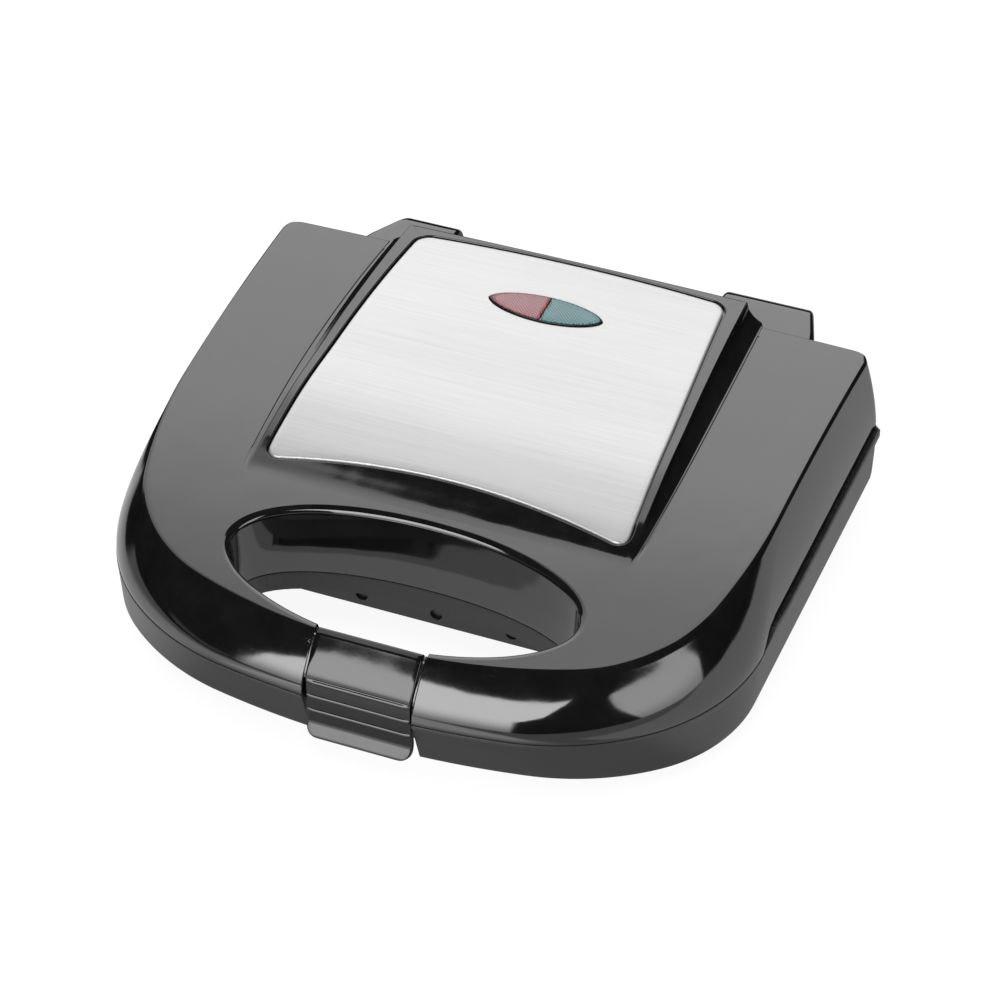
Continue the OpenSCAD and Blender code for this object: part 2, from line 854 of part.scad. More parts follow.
module lid_shell() {
  w = latch_w + latch_gap;
  color("#1d1d1f")
    difference() {
      union() {
        difference() {
          lid_form(0, 0, 0);
          difference() {
            lid_form(wall, wall, wall + panel_t + 0.3);
            grip(wall, parting_h - 2, 60);
            translate([-w - wall, front_y - 20, 0])
              cube([2 * (w + wall), 38, 80]);
            at_screws()
              translate([0, 0, frame_z + deck_t + fit])
                cylinder(h = 60, r = 4);
          }
          difference() {
            translate([-w, front_y - 20, 0]) cube([2 * w, 38, 80]);
            along_x(-w, w) polygon(bar_side);
          }
        }
        bar_x(-cheek_x + 1.5, cheek_x - 1.5, latch_y, latch_h, boss_r);
        ear(-1);
        ear(1);
      }
      ear_space(-1, ear_r - wall);
      ear_space(1, ear_r - wall);
      grip(0, 0, 80);
      along_x(-200, 200)
        polygon(concat([[rear_y + 20, -5], [front_y - 30, -5]],
          [[front_y - 30, lid_low]], split_line(lid_low,
            parting_h + lip_h + 0.7)));
      difference() {
        translate([0, 0, 40]) linear_extrude(40) panel_plan(panel_gap);
        under_crown(panel_t + 0.1);
      }
      translate([0, 0, 40]) linear_extrude(40) lens_plan(fit);
      bar_x(-20, 20, latch_y, latch_h, latch_pin_r + 0.02);
      bar_x(-ear_x1 - 1, -ear_x0 + 1, hinge_y, hinge_h, pin_r + run_fit);
      bar_x(ear_x0 - 1, ear_x1 + 1, hinge_y, hinge_h, pin_r + run_fit);
      for (s = [-1, 1])
        bar_x(s * cheek_x - 1.45, s * cheek_x + 1.45, latch_y, latch_h,
          boss_r + gap + 0.2);
      at_screws()
        translate([0, 0, frame_z]) cylinder(h = 12, r = screw_r);
    }
}

module lid_frame() {
  color("#2b2b2d")
    difference() {
      intersection() {
        lid_form(wall + fit, wall + fit, wall + panel_t + 1);
        translate([-200, -200, frame_z]) cube([400, 400, deck_t]);
      }
      slab(plate_plan(1 - flange_w, plate_r), 10, 60);
      grip(wall + fit, 10, 60);
      translate([-latch_w - latch_gap - wall - fit, front_y - 20, 0])
        cube([2 * (latch_w + latch_gap + wall + fit), 38.4, 80]);
      ear_space(-1, knuckle_r + 1.5);
      ear_space(1, knuckle_r + 1.5);
      at_screws() cylinder(h = 80, r = screw_r + fit);
      at_screws() cylinder(h = frame_z + 0.9, r = head_r + fit);
    }
}

module top_panel() {
  color("#d9d9dc")
    difference() {
      intersection() {
        translate([0, 0, 40]) linear_extrude(40) panel_plan(0);
        under_crown(0);
      }
      under_crown(panel_t);
      translate([0, 0, 30]) linear_extrude(60) lens_plan(fit);
    }
}

module plate_upper() {
  color("#3a3a3c") turned() plate();
}

module heater_upper() {
  color("#8a8a8c") turned() heater();
}

module reflector_upper() {
  color("#c8c8ca") turned() reflector();
}

module thermostat_upper() {
  color("#d8d2c4") turned() thermostat();
}

// One half of the lens, with a flange under the lid's shell
module lens_half(s) {
  zi = crown_h - wall - panel_t - 0.3;
  intersection() {
    union() {
      translate([0, 0, zi - 1.2]) linear_extrude(20) lens_plan(0);
      translate([0, 0, zi - 1.9]) linear_extrude(1.2) lens_plan(1.4);
    }
    under_crown(-0.6);
    translate([s > 0 ? 0.1 : -40.1, lens_c - 20, 0]) cube([40, 40, 90]);
  }
}

module lens_red() {
  color([0.6, 0.1, 0.12, 0.9]) lens_half(-1);
}

module lens_green() {
  color([0.05, 0.4, 0.36, 0.9]) lens_half(1);
}

// Twin cup that holds the lamps under the lens
module lamp_holder() {
  z0 = 2 * mirror_z - heat_z + fit + reflector_t + 0.4;
  z1 = crown_h - wall - panel_t - 2.4;
  x = lens_l + 2.5;
  y = lens_w + 2;
  color("#e9e6dc")
    difference() {
      translate([-x, lens_c - y, z0]) cube([2 * x, 2 * y, z1 - z0]);
      for (a = [-x + 1.4, 0.6])
        translate([a, lens_c - y + 1.4, z0 + 1.4])
          cube([x - 2, 2 * y - 2.8, 40]);
    }
}

// Small lamp lying in its cup
module neon(s) {
  z0 = 2 * mirror_z - heat_z + fit + reflector_t + 1.8;
  bar_x(s * 11.5 - 7, s * 11.5 + 7, lens_c, z0 + 2.6 + fit, 2.6);
}

module neon_red() {
  color("#d8743a") neon(-1);
}

module neon_green() {
  color("#7ab86a") neon(1);
}

module lid_screw(x, y) {
  screw(x, y, frame_z - 0.9, frame_z + deck_t + 9);
}

module lid_screw_fl() {
  lid_screw(-screw_x, screw_y[0]);
}

module lid_screw_fr() {
  lid_screw(screw_x, screw_y[0]);
}

module lid_screw_rl() {
  lid_screw(-screw_x, screw_y[1]);
}

module lid_screw_rr() {
  lid_screw(screw_x, screw_y[1]);
}

// ---------------------------------------------------------------- latch

// Outer line of the latch over the shoulder, from its top edge down
function latch_line(t) =
  let (zt = wing_z(front_y + 12))
  concat(
    [[front_y + 13.6, zt + 0.3 - t]],
    [for (i = [0:8])
      let (
        s = i / 8,
        u = bez(s, 0.414, 1),
        v = bez(s, 0.295, 0.669),
        a = s == 0 ? 17 : 35.5 + 54.5 * s
      )
      [front_y + 12 - 12.6 * u + t * sin(a),
        zt + 0.3 - (zt - parting_h + 0.1) * v - t * cos(a)]],
    [[front_y - 0.6 + t, 18.4],
      [front_y - latch_proud + t * 0.85, latch_z]]
  );

module latch() {
  line = latch_line(0);
  inner = latch_line(latch_t);
  mid = latch_line(latch_t / 2);
  n = len(inner);
  color("#1f1f21")
    difference() {
      union() {
        along_x(-latch_w, latch_w)
          polygon(concat(line, [for (i = [n - 1:-1:0]) inner[i]]));
        for (z = [parting_h - 4.5, parting_h + 1.6])
          bar_x(-latch_w + 0.6, latch_w - 0.6, front_y - 0.5, z, 0.8);
        along_x(-11, 11)
          polygon([
            [front_y + 1.2, hook_z - 0.5], [front_y + 8.2, hook_z - 0.5],
            [front_y + 8.2, hook_z - 1.6], [front_y + 1.2, hook_z - 4.4]
          ]);
        for (s = [-1, 1])
          along_x(s * cheek_x - 1.15, s * cheek_x + 1.15) {
            translate([latch_y, latch_h]) circle(r = boss_r);
            polygon([
              [latch_y, latch_h - boss_r + 0.4], mid[7], mid[6], mid[5],
              mid[4], mid[3], mid[2], [latch_y + boss_r - 0.4, latch_h]
            ]);
          }
      }
      bar_x(-20, 20, latch_y, latch_h, latch_pin_r + run_fit);
    }
}

module latch_pin() {
  color("silver")
    bar_x(-cheek_x - 1.5, cheek_x + 1.5, latch_y, latch_h, latch_pin_r);
}

base_shell();
bottom_cover();
plate_lower();
heater_lower();
reflector_lower();
thermostat_lower();
thermal_fuse();
terminal_block();
cord_grommet();
foot_fl();
foot_fr();
foot_rl();
foot_rr();
base_screw_fl();
base_screw_fr();
base_screw_rl();
base_screw_rr();
lid_shell();
lid_frame();
top_panel();
plate_upper();
heater_upper();
reflector_upper();
thermostat_upper();
lens_red();
lens_green();
lamp_holder();
neon_red();
neon_green();
hinge_pin_left();
hinge_pin_right();
lid_screw_fl();
lid_screw_fr();
lid_screw_rl();
lid_screw_rr();
latch();
latch_pin();
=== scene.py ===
import json
import math

import bmesh
import bpy
import numpy as np
from mathutils import Matrix, Vector


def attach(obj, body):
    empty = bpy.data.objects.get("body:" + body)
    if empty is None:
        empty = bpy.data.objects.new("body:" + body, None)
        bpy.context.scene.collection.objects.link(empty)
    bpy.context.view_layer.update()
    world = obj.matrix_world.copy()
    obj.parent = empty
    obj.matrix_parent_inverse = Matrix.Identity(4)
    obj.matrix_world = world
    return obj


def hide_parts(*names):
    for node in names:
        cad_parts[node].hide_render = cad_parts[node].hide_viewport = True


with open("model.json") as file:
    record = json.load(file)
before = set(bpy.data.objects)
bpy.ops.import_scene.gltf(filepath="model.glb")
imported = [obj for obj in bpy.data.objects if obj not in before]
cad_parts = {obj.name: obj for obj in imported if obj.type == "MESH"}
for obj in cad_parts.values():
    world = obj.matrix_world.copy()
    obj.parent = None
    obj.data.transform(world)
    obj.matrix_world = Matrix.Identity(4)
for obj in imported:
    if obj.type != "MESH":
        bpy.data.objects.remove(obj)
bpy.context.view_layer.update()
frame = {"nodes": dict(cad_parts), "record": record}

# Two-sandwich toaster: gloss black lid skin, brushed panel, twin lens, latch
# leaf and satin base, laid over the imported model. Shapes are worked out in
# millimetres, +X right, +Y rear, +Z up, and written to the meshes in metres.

rad = math.radians

# ---- sizes

FRONT, REAR = -110.1, 85.2
# Outlines: front y, half width, r1, r2, a2, r3, a3
RIM = (FRONT, 112.4, 296, 83.3, 40.1, 66, 89.3)
FOOT = (FRONT + 6, 111.2, 298, 83.2, 40.1, 52, 89.3)
CREST = (FRONT + 12, 106.35, 213, 52.2, 75.6, 207, 88.5)
SIDE_END = REAR + 12
PARTING = 25.9
LID_LOW, LIP_LOW = 26.05, 32.3
SEAM = PARTING + 0.45   # where the lid's shoulder curve ends
STRIP_Y = REAR - 127.8  # front end of the side strips and the collar
STEP_Y = (REAR - 123.3, REAR - 114.3)   # ends of the step in the parting
BASE_TOP, LIP_TOP = 25.75, 30.3     # the base's edge, in front of the step and behind
LIP_R = 0.3             # rounding of the edges that face each other
WALL = 2.3
CORNER, REAR_X = 6.0, 114.0
BEND = 0.9              # how far before a rear corner its fillet starts
SOFT = 1.1              # reach of the rounding on the lid's edges
GRIP_Y, GRIP_A, GRIP_F, GRIP_R = FRONT + 39.3, 60.7, 25.4, 24.0
GRIP_NF, GRIP_NR = 1.9, 2.09    # exponents of the opening's halves
GRIP_SOFT = 2.2         # reach of the rounding on the opening's edge
NOTCH = 18.9            # half width of the gap for the latch
LID_X0 = NOTCH + 0.4    # half width at which the lid's front begins
HINGE_Y, HINGE_Z, EAR_R = 91.3, 35.0, 22.8
PIVOT = (-100.1, 33.5)
LATCH_W, LATCH_T = 18.15, 2.2
LENS_L, LENS_W, LENS_Y = 20.4, 6.7, REAR - 27.1
PANEL_F, PANEL_B = 63.7, 56.8
PANEL_Y0, PANEL_Y1 = REAR - 121.5, REAR - 1.7
PANEL_LONG = 119.8


# ---- curves

def join(*parts, axis=0):
    return np.concatenate(parts, axis)


def points(*coordinates):
    return np.stack(np.broadcast_arrays(*coordinates), -1)


def even(n, axes=0):
    """n even shares from 0 to 1, with empty axes after them."""
    return np.linspace(0, 1, n).reshape((n,) + (1,) * axes)


def mix(a, b, t):
    return a + (b - a) * t


def quad(a, b, c, t):
    """The quadratic curve that leaves a for b and arrives at c."""
    return (1 - t) ** 2 * a + 2 * t * (1 - t) * b + t * t * c


def above(d, soft):
    """Soft maximum of d and 0: half the sum of d and root(d^2 + soft)."""
    return 0.5 * (d + np.sqrt(d * d + soft))


def ease(t):
    """0 before t = 0, 1 after t = 1, 3t^2 - 2t^3 between."""
    t = np.clip(t, 0, 1)
    return t * t * (3 - 2 * t)


def bez(s, p1, p2):
    """Cubic from 0 to 1 with the middle weights p1 and p2."""
    return 3 * (1 - s) ** 2 * s * p1 + 3 * (1 - s) * s * s * p2 + s ** 3


def shoulder(s):
    """Shares outwards and down along the lid's shoulder curve."""
    return bez(s, 0.414, 1), bez(s, 0.295, 0.669)


def arch(y, crest_y, crest_z, r):
    """Height of a circle of radius r with its crest at crest_y, crest_z."""
    return crest_z - r + np.sqrt(r * r - (y - crest_y) ** 2)


def wing_z(y):
    return arch(y, REAR - 40.3, 59.2, 650)


def crown_z(y):
    return arch(y, REAR - 23.7, 66, 400)


def rise(y):
    """How far the raised centre stands over the wings, faded out in front:
    a soft maximum of their difference and nothing, and a fuller front that
    climbs 0.107 per mm behind the opening, levels off and fades out."""
    level = 1.34 + 0.02 * (y + 28)
    full = level - above(level - 0.107 * above(y + 40.2, 1.0), 0.01)
    full = full * (1 - ease((y + 14) / 36)) * ease((y + 46) / 5)
    centre = above(crown_z(y) - wing_z(y), 0.5) * ease((y + 42.6) / 7.0)
    return centre + np.maximum(full, 0)


def bow_x(y):
    """Half width at the foot of the hollow flanks."""
    m = REAR - 65.3
    return 70.4 - np.where(y < m, 2.2, 1.2) * ((y - m) / 60) ** 2


def brow_x(y):
    """Half width at the top edge of the hollow flanks."""
    return 62.8 + 4.4 * (REAR - y) / 120


def flank(k):
    """Height share of the hollow flank at share k of its width: a straight
    start and a quarter circle that ends upright."""
    return 0.25 * k + 0.75 * (1 - np.sqrt(np.maximum(0, 1 - k * k)))


def handover(c):
    """Angle where the front arc gives way to the shoulder arc: its sine is
    the half width less what the other two arcs cover, over r1 - r2."""
    s2, s3 = math.sin(rad(c[4])), math.sin(rad(c[6]))
    return math.asin((c[1] - c[5] * (s3 - s2) - c[3] * s2) / (c[2] - c[3]))


def step_z(y, front, rear):
    """Height front before the step in the parting and rear behind it."""
    return np.interp(y, STEP_Y, [front, rear])


def heading(a):
    return points(np.sin(a), -np.cos(a))


def on_outline(c, a):
    """Points where the tangent of outline c has turned by a: three arcs,
    each centred on the last one's end radius."""
    a = np.asarray(a, float)
    a1, a2 = handover(c), rad(c[4])
    m1 = np.array([0, c[0] + c[2]])
    m2 = m1 + (c[2] - c[3]) * heading(a1)
    m3 = m2 + (c[3] - c[5]) * heading(a2)
    b = a[..., None]
    return np.where(b < a1, m1 + c[2] * heading(a),
                    np.where(b < a2, m2 + c[3] * heading(a), m3 + c[5] * heading(a)))


def inset(c, t):
    """Outline c moved inwards by t: each radius loses t."""
    return (c[0] + t, c[1] - t, c[2] - t, c[3] - t, c[4], c[5] - t, c[6])


def arc_part(c, x0, shares):
    """Arcs of c from half width x0 to the side, at shares of the turn."""
    a0, a3 = math.asin(x0 / c[2]), rad(c[6])
    return on_outline(c, a0 + (a3 - a0) * shares)


def side_part(c, f):
    """Side of c: the leaning straight line after the arcs, at share f."""
    end = on_outline(c, rad(c[6]))
    d = (SIDE_END - end[1]) * f
    return points(end[0] + math.tan(math.pi / 2 - rad(c[6])) * d, end[1] + d)


def side_cut(inner, outer, u, edge, out, rounds):
    """Where each row of a side, u of the way from the inner outline to the
    outer and out further, meets the rear edge, by Newton steps: its share
    of the side, the point, and the full length of the row."""
    ends = [SIDE_END - on_outline(c, rad(c[6]))[1] for c in (inner, outer)]
    length = mix(*ends, u)

    def row(f):
        p = mix(side_part(inner, f), side_part(outer, f), u[:, None])
        return p + points(out, 0 * out)

    f = np.full(len(u), 0.9)
    for _ in range(rounds):
        p = row(f)
        f = f + (edge(p[:, 0]) - p[:, 1]) / length
    return f, row(f), length


def even_shares(outlines, x0, step):
    """Shares of the turn at which the longest of several outlines is cut
    into steps of one length: cumulative length, read backwards."""
    g = even(1500)
    steps = [np.diff(run_along(arc_part(c, x0, g))) for c in outlines]
    total = join([0], np.cumsum(np.max(steps, axis=0)))
    return np.interp(np.linspace(0, total[-1], int(total[-1] / step) + 1), total, g)


def run_along(p):
    """Length along the line p up to each of its points."""
    return join([0], np.cumsum(np.linalg.norm(np.diff(p, axis=0), axis=1)))


def at_length(p, run, at):
    """Points of the line p at some lengths, run being its own."""
    return points(*[np.interp(at, run, q) for q in p.T])


def resample(p, shares):
    """Points along the line p at shares of its length."""
    run = run_along(p)
    return at_length(p, run, shares * run[-1])


def soft_corner(a, b, c, n=5):
    """Rows of the curve that leaves line a for b and arrives at c."""
    return quad(a, b, c, even(n, 2))


def fillet(side, cut, rear):
    """Columns of the curve between the last of the side and the first of
    the rear, bent towards the cut."""
    return quad(side[:, -1:], cut[:, None], rear[:, :1], even(7, 1)[1:-1])


def lift(xy, z):
    """Plan points with a height."""
    return points(xy[..., 0], xy[..., 1], z)


def on_wing(xy):
    return lift(xy, wing_z(xy[..., 1]))


def on_crown(xy, up=0.0):
    """Plan points on the raised centre, or up from it."""
    return lift(xy, top_z(xy[..., 1], 1) + up)


def tangent(p):
    t = np.gradient(p, axis=-2)
    return t / np.maximum(np.linalg.norm(t, axis=-1, keepdims=True), 1e-9)


def right_of(p):
    """Unit normal of lines by their first two coordinates: the tangent
    turned to the right, which is outwards on the right of an outline."""
    t = tangent(p[..., :2])
    return points(t[..., 1], -t[..., 0])


def edge_normal(p):
    """Outward normal along a half outline: straight ahead and straight
    back at its ends, where the halves meet."""
    n = lift(right_of(p), 0.0)
    n[0], n[-1] = (0, -1, 0), (0, 1, 0)
    return n


# ---- meshes

WELD = 3e-6             # in metres
UP, DOWN = (0, 0, 1), (0, 0, -1)


def add_object(name, data):
    ob = bpy.data.objects.new(name, data)
    bpy.context.scene.collection.objects.link(ob)
    return ob


class Skin:
    """Patches of quads, given as grids of points, gathered into one piece."""

    def __init__(self):
        self.co, self.quads, self.n = [], [], 0

    def add(self, grid, facing):
        """One grid of rows and columns. facing is a direction, or a pair
        (point, sign) for away from (+1) or towards (-1) that point; the
        winding follows it."""
        grid = np.asarray(grid, float)
        m, n = grid.shape[:2]
        idx = np.arange(m * n).reshape(m, n) + self.n
        quads = points(idx[:-1, :-1], idx[:-1, 1:], idx[1:, 1:], idx[1:, :-1])
        cross = np.cross(grid[1:, 1:] - grid[:-1, :-1], grid[1:, :-1] - grid[:-1, 1:])
        mid = (grid[1:, 1:] + grid[:-1, :-1]) / 2
        if len(facing) == 2:
            want = (mid - np.array(facing[0], float)) * facing[1]
        else:
            want = np.array(facing, float)
        if (cross * want).sum() < 0:
            quads = quads[..., ::-1]
        self.co.append(grid.reshape(-1, 3))
        self.quads.append(quads.reshape(-1, 4))
        self.n += m * n
        return self

    def pair(self, grid, facing):
        """The grid and its mirror image across X = 0."""
        grid, flip = np.asarray(grid, float), np.array([-1.0, 1, 1])
        self.add(grid, facing)
        if len(facing) == 2:
            self.add(grid * flip, (np.array(facing[0]) * flip, facing[1]))
        else:
            self.add(grid * flip, np.array(facing) * flip)

    def piece(self, name, material, body, sharp=32):
        """Mesh object in metres, its seams and poles welded, smooth but for
        edges sharper than `sharp` degrees, riding on a body."""
        me = bpy.data.meshes.new(name)
        me.from_pydata(np.concatenate(self.co) * 0.001, [], np.concatenate(self.quads))
        bm = bmesh.new()
        bm.from_mesh(me)
        bmesh.ops.remove_doubles(bm, verts=bm.verts, dist=WELD)
        bm.to_mesh(me)
        bm.free()
        me.shade_smooth()
        me.set_sharp_from_angle(angle=rad(sharp))
        me.materials.append(material)
        ob = add_object(name, me)
        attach(ob, body)
        return ob


def round_corner(p, corner, r=CORNER):
    """Rounds the rear corner of plan points by mapping the square of side r
    inside it onto a quarter disc: u goes to u * sqrt(1 - v^2 / 2) and v to
    v * sqrt(1 - u^2 / 2), both counted from the far sides of the square."""
    p = np.array(p)
    corner = np.asarray(corner)[..., :2]
    lean = (corner[..., 1] - p[..., 1]) * 0.02
    u = np.clip((p[..., 0] - lean - corner[..., 0] + r) / r, 0, 1.0)
    v = np.clip((p[..., 1] - corner[..., 1] + r) / r, 0, 1.0)
    p[..., 0] += (u * np.sqrt(1 - v * v / 2) - u) * r
    p[..., 1] += (v * np.sqrt(1 - u * u / 2) - v) * r
    return p


# ---- lid skin

def rear_bow(x):
    """Rear edge in plan: a shallow bow and a corner arc at its end."""
    k = REAR_X - CORNER
    bow = 1.7 * (1 - (np.minimum(x, k) / k) ** 2)
    arc = np.sqrt(np.maximum(0, CORNER ** 2 - np.clip(x - k, 0, CORNER) ** 2)) - CORNER
    return REAR + bow + arc


def rear_edge(x):
    """The lid's rear edge, with a step back for the raised centre."""
    x = np.abs(x)
    return rear_bow(x) + 2.6 * ease((bow_x(REAR) + 0.9 - x) / 1.8)


def rear_line(edge, start, n, m):
    """A rear edge as points from the side to the centre, with its run: n on
    the corner, from start degrees on, and m from there."""
    k = REAR_X - CORNER
    a = np.linspace(rad(start), rad(90), n)
    x = join(k + CORNER * np.cos(a), np.linspace(k, 0, m)[1:])
    p = points(x, edge(x))
    return p, run_along(p)


def across(y, xa):
    """Stations from the crisp edge at xa in to the top of the brow at depth
    y, as half widths and height shares: wing, foot, hollow flank, rounded
    brow. One row for each y."""
    y, xa = np.atleast_1d(y)[:, None], np.atleast_1d(xa)[:, None]
    foot, brow = bow_x(y), brow_x(y)
    w = foot - brow
    h = np.maximum(rise(y), 0.2)
    e = np.minimum(0.3, 0.45 / h)
    kt = even(400)
    kc = np.interp(1 - e, flank(kt), kt)
    k = np.sin(even(15) * np.arcsin(kc))
    rb = np.minimum(0.5, 0.3 * w)
    t = even(6)[1:]
    cx, cf = foot - kc * w, 1 - e
    bx, bf = quad(cx, brow, brow - rb, t), quad(cf, 1, 1, t)
    near = np.array([1.5, 0.95, 0.72, 0.42, 0.2])
    dip = np.array([0, 0, -1, -1, 0]) * np.minimum(0.45, 0.12 * h) / h
    wing = mix(xa - 0.6, foot + 1.5, even(17)[:-1])
    x = join(wing, foot + near, foot - k * w, bx, brow - rb - 0.25, brow - rb - 0.8, axis=1)
    f = join(wing * 0, dip, flank(k), bf, 1 + 0 * w, 1 + 0 * w, axis=1)
    return x, f


def top_z(y, f):
    return wing_z(y) + rise(y) * f


def grip_line(share, z, grow=0.0, x0=None):
    """Right half of the handle opening from half width x0 at its front
    round to the middle of its rear, at height z: an oval whose halves have
    their own depth and exponent, drawn in towards the bottom by 0.105 per
    mm above z = 36 and 0.02 below."""
    up = z - 36.2
    d = grow + 0.0625 * up + 0.0425 * np.sqrt(up * up + 0.4) - 1.75
    a = GRIP_A + d
    t0 = -np.arccos((x0 / a) ** 0.95) if x0 else -math.pi / 2
    t = mix(t0, math.pi / 2, share)
    c, s = np.cos(t), np.sin(t)
    n = np.where(s > 0, GRIP_NR, GRIP_NF)
    deep = np.where(s > 0, GRIP_R, GRIP_F) + d
    return points(a * np.abs(c) ** (2 / n), GRIP_Y + deep * np.sign(s) * np.abs(s) ** (2 / n))


def panel_line(g, spreads):
    """Right half of the panel's outline grown by g, from the middle of its
    hollow front edge to the middle of its bowed rear edge, the corners
    cubic fillets of radius 5 + g. In three parts that meet in the middle of
    each corner, cut at the shares in spreads."""
    hollow, bow = 8.3, 3.1      # of the front and the rear edge
    flare, belly = 6.9, 3.4     # of the sides
    r = 5 + g
    xf, xb = PANEL_F + g, PANEL_B + g
    x = np.linspace(0, xf - r, 60)
    front = points(x, PANEL_Y0 - g + hollow * (1 - (x / PANEL_F) ** 2))
    v = np.linspace(r / PANEL_LONG, 1 - r / PANEL_LONG, 120)
    u = 1 - v
    side = points(PANEL_B + flare * u + belly * u * (1 - u) + g,
                  mix(PANEL_Y0 - g, PANEL_Y1 + g, v))
    x = np.linspace(xb - r, 0, 60)
    back = points(x, PANEL_Y1 + g + bow * (1 - (x / PANEL_B) ** 2))

    def turn(p, corner, q):
        t = even(17, 1)
        a, b = mix(p, corner, 0.5523), mix(q, corner, 0.5523)
        return (1 - t) ** 3 * p + 3 * t * (1 - t) ** 2 * a + 3 * t * t * (1 - t) * b + t ** 3 * q

    c1 = turn(front[-1], np.array([side[0, 0] + 0.1, PANEL_Y0 - g - 0.1]), side[0])
    c2 = turn(side[-1], np.array([side[-1, 0] - 0.15, PANEL_Y1 + g]), back[0])
    parts = [join(front[:-1], c1[:9]),
             join(c1[8:], side[1:-1], c2[:9]),
             join(c2[8:], back[1:])]
    return [resample(p, s) for p, s in zip(parts, spreads)]


def lid_plan():
    """What the lid's patches share: the columns of the wall round the
    outline, row by row; the corner; the top's edge, inset, on it and round
    the corner; the number of columns before the rear; its stations."""
    shares = even_shares([CREST, RIM], LID_X0, 1.5)
    sides = even(80)[1:]
    row = even(28)
    st = even(400)
    right = np.array([1.0, 0])

    def reach(top, rim, normal, foot_y):
        """First and last parameter of the shoulder in each column."""
        zt = wing_z(top[..., 1])
        w = np.abs(((rim - top) * normal).sum(-1))
        s0 = SOFT / np.hypot(1.242 * w, 0.885 * (zt - SEAM))
        v1 = np.minimum(1, (zt - step_z(foot_y, LID_LOW, LIP_LOW) - LIP_R) / (zt - SEAM))
        return s0, np.interp(v1, shoulder(st)[1], st)

    def shell(top, rim, ends):
        u, v = shoulder(mix(*ends, row[:, None]))
        return lift(mix(top, rim, u[..., None]), mix(wing_z(top[..., 1]), SEAM, v))

    # arcs
    top, rim = arc_part(CREST, LID_X0, shares), arc_part(RIM, LID_X0, shares)
    arcs = shell(top, rim, reach(top, rim, right_of(top), rim[:, 1]))
    a_arc = arc_part(inset(CREST, SOFT), LID_X0, shares)
    # sides, up to their cut by the rear plan
    ends = reach(side_part(CREST, 0.9), side_part(RIM, 0.93), right, 80.0)
    u, v = shoulder(mix(*ends, row))
    f, cut, length = side_cut(CREST, RIM, u, rear_edge, 0 * u, 5)
    share = sides * (f - BEND / length)[:, None]
    top, rim = side_part(CREST, share), side_part(RIM, share)
    side = shell(top, rim, reach(top[-1], rim[-1], right, rim[-1, :, 1]))
    crest_length = SIDE_END - on_outline(CREST, rad(CREST[6]))[1]
    a_side = side_part(inset(CREST, SOFT), sides * (f[0] - BEND / crest_length))
    # rear stations: those outside x = 100 share out the way from the cut
    line, run = rear_line(rear_edge, 4, 60, 900)
    at_x = lambda x: np.interp(-x, -line[:, 0], run)
    corner_x = side_part(CREST, f[0])[0] - SOFT
    xs, fs = across(REAR - 0.3, corner_x)
    inner = np.linspace(xs[0, -1], 0, 31)[1:]
    xs, fs = join(xs[0], inner), join(fs[0], inner * 0 + 1)
    run_cut, run_in = at_x(cut[:, 0])[:, None], at_x(100.0)
    mu = (at_x(xs) - run_cut[0]) / (run_in - run_cut[0])
    at = np.where(mu < 1, run_cut + (run_in - run_cut) * np.minimum(mu, 1), at_x(xs))
    xy = at_length(line, run, at)
    zt = top_z(rear_edge(xs), fs)
    drop = zt - SEAM
    v0, v1 = SOFT / drop, (zt - LIP_LOW - LIP_R) / drop
    z = mix(zt, SEAM, v0 + (v1 - v0) * ((v - v[0]) / (v[-1] - v[0]))[:, None])
    z = z + (side[:, -1:, 2] - z[:, :1]) * np.maximum(0, 1 - mu)
    rear = lift(xy, z)
    turn = fillet(side, lift(cut, (side[:, -1, 2] + rear[:, 0, 2]) / 2), rear)
    wall = round_corner(join(arcs, side, turn, rear, axis=1), cut[:, None],
                        np.linspace(6, 1.2, len(row))[:, None])
    corner = np.array([[corner_x, rear_edge(corner_x) - SOFT]])
    a_row = join(a_arc, a_side, np.repeat(corner, 5, 0), points(xs, rear_edge(xs) - SOFT))
    b_row = join(arc_part(CREST, LID_X0, shares), side_part(CREST, share[0]),
                 turn[0, :, :2], points(xs, rear_edge(xs)))
    f = join(np.zeros(len(a_row) - len(xs)), fs)
    za, zb = top_z(a_row[:, 1], f), top_z(b_row[:, 1], f)
    edges = (lift(a_row, za), lift(round_corner(a_row, cut[0]), za),
             lift(round_corner(b_row, cut[0]), zb))
    return wall, cut[0], edges, len(shares) + len(sides), xs


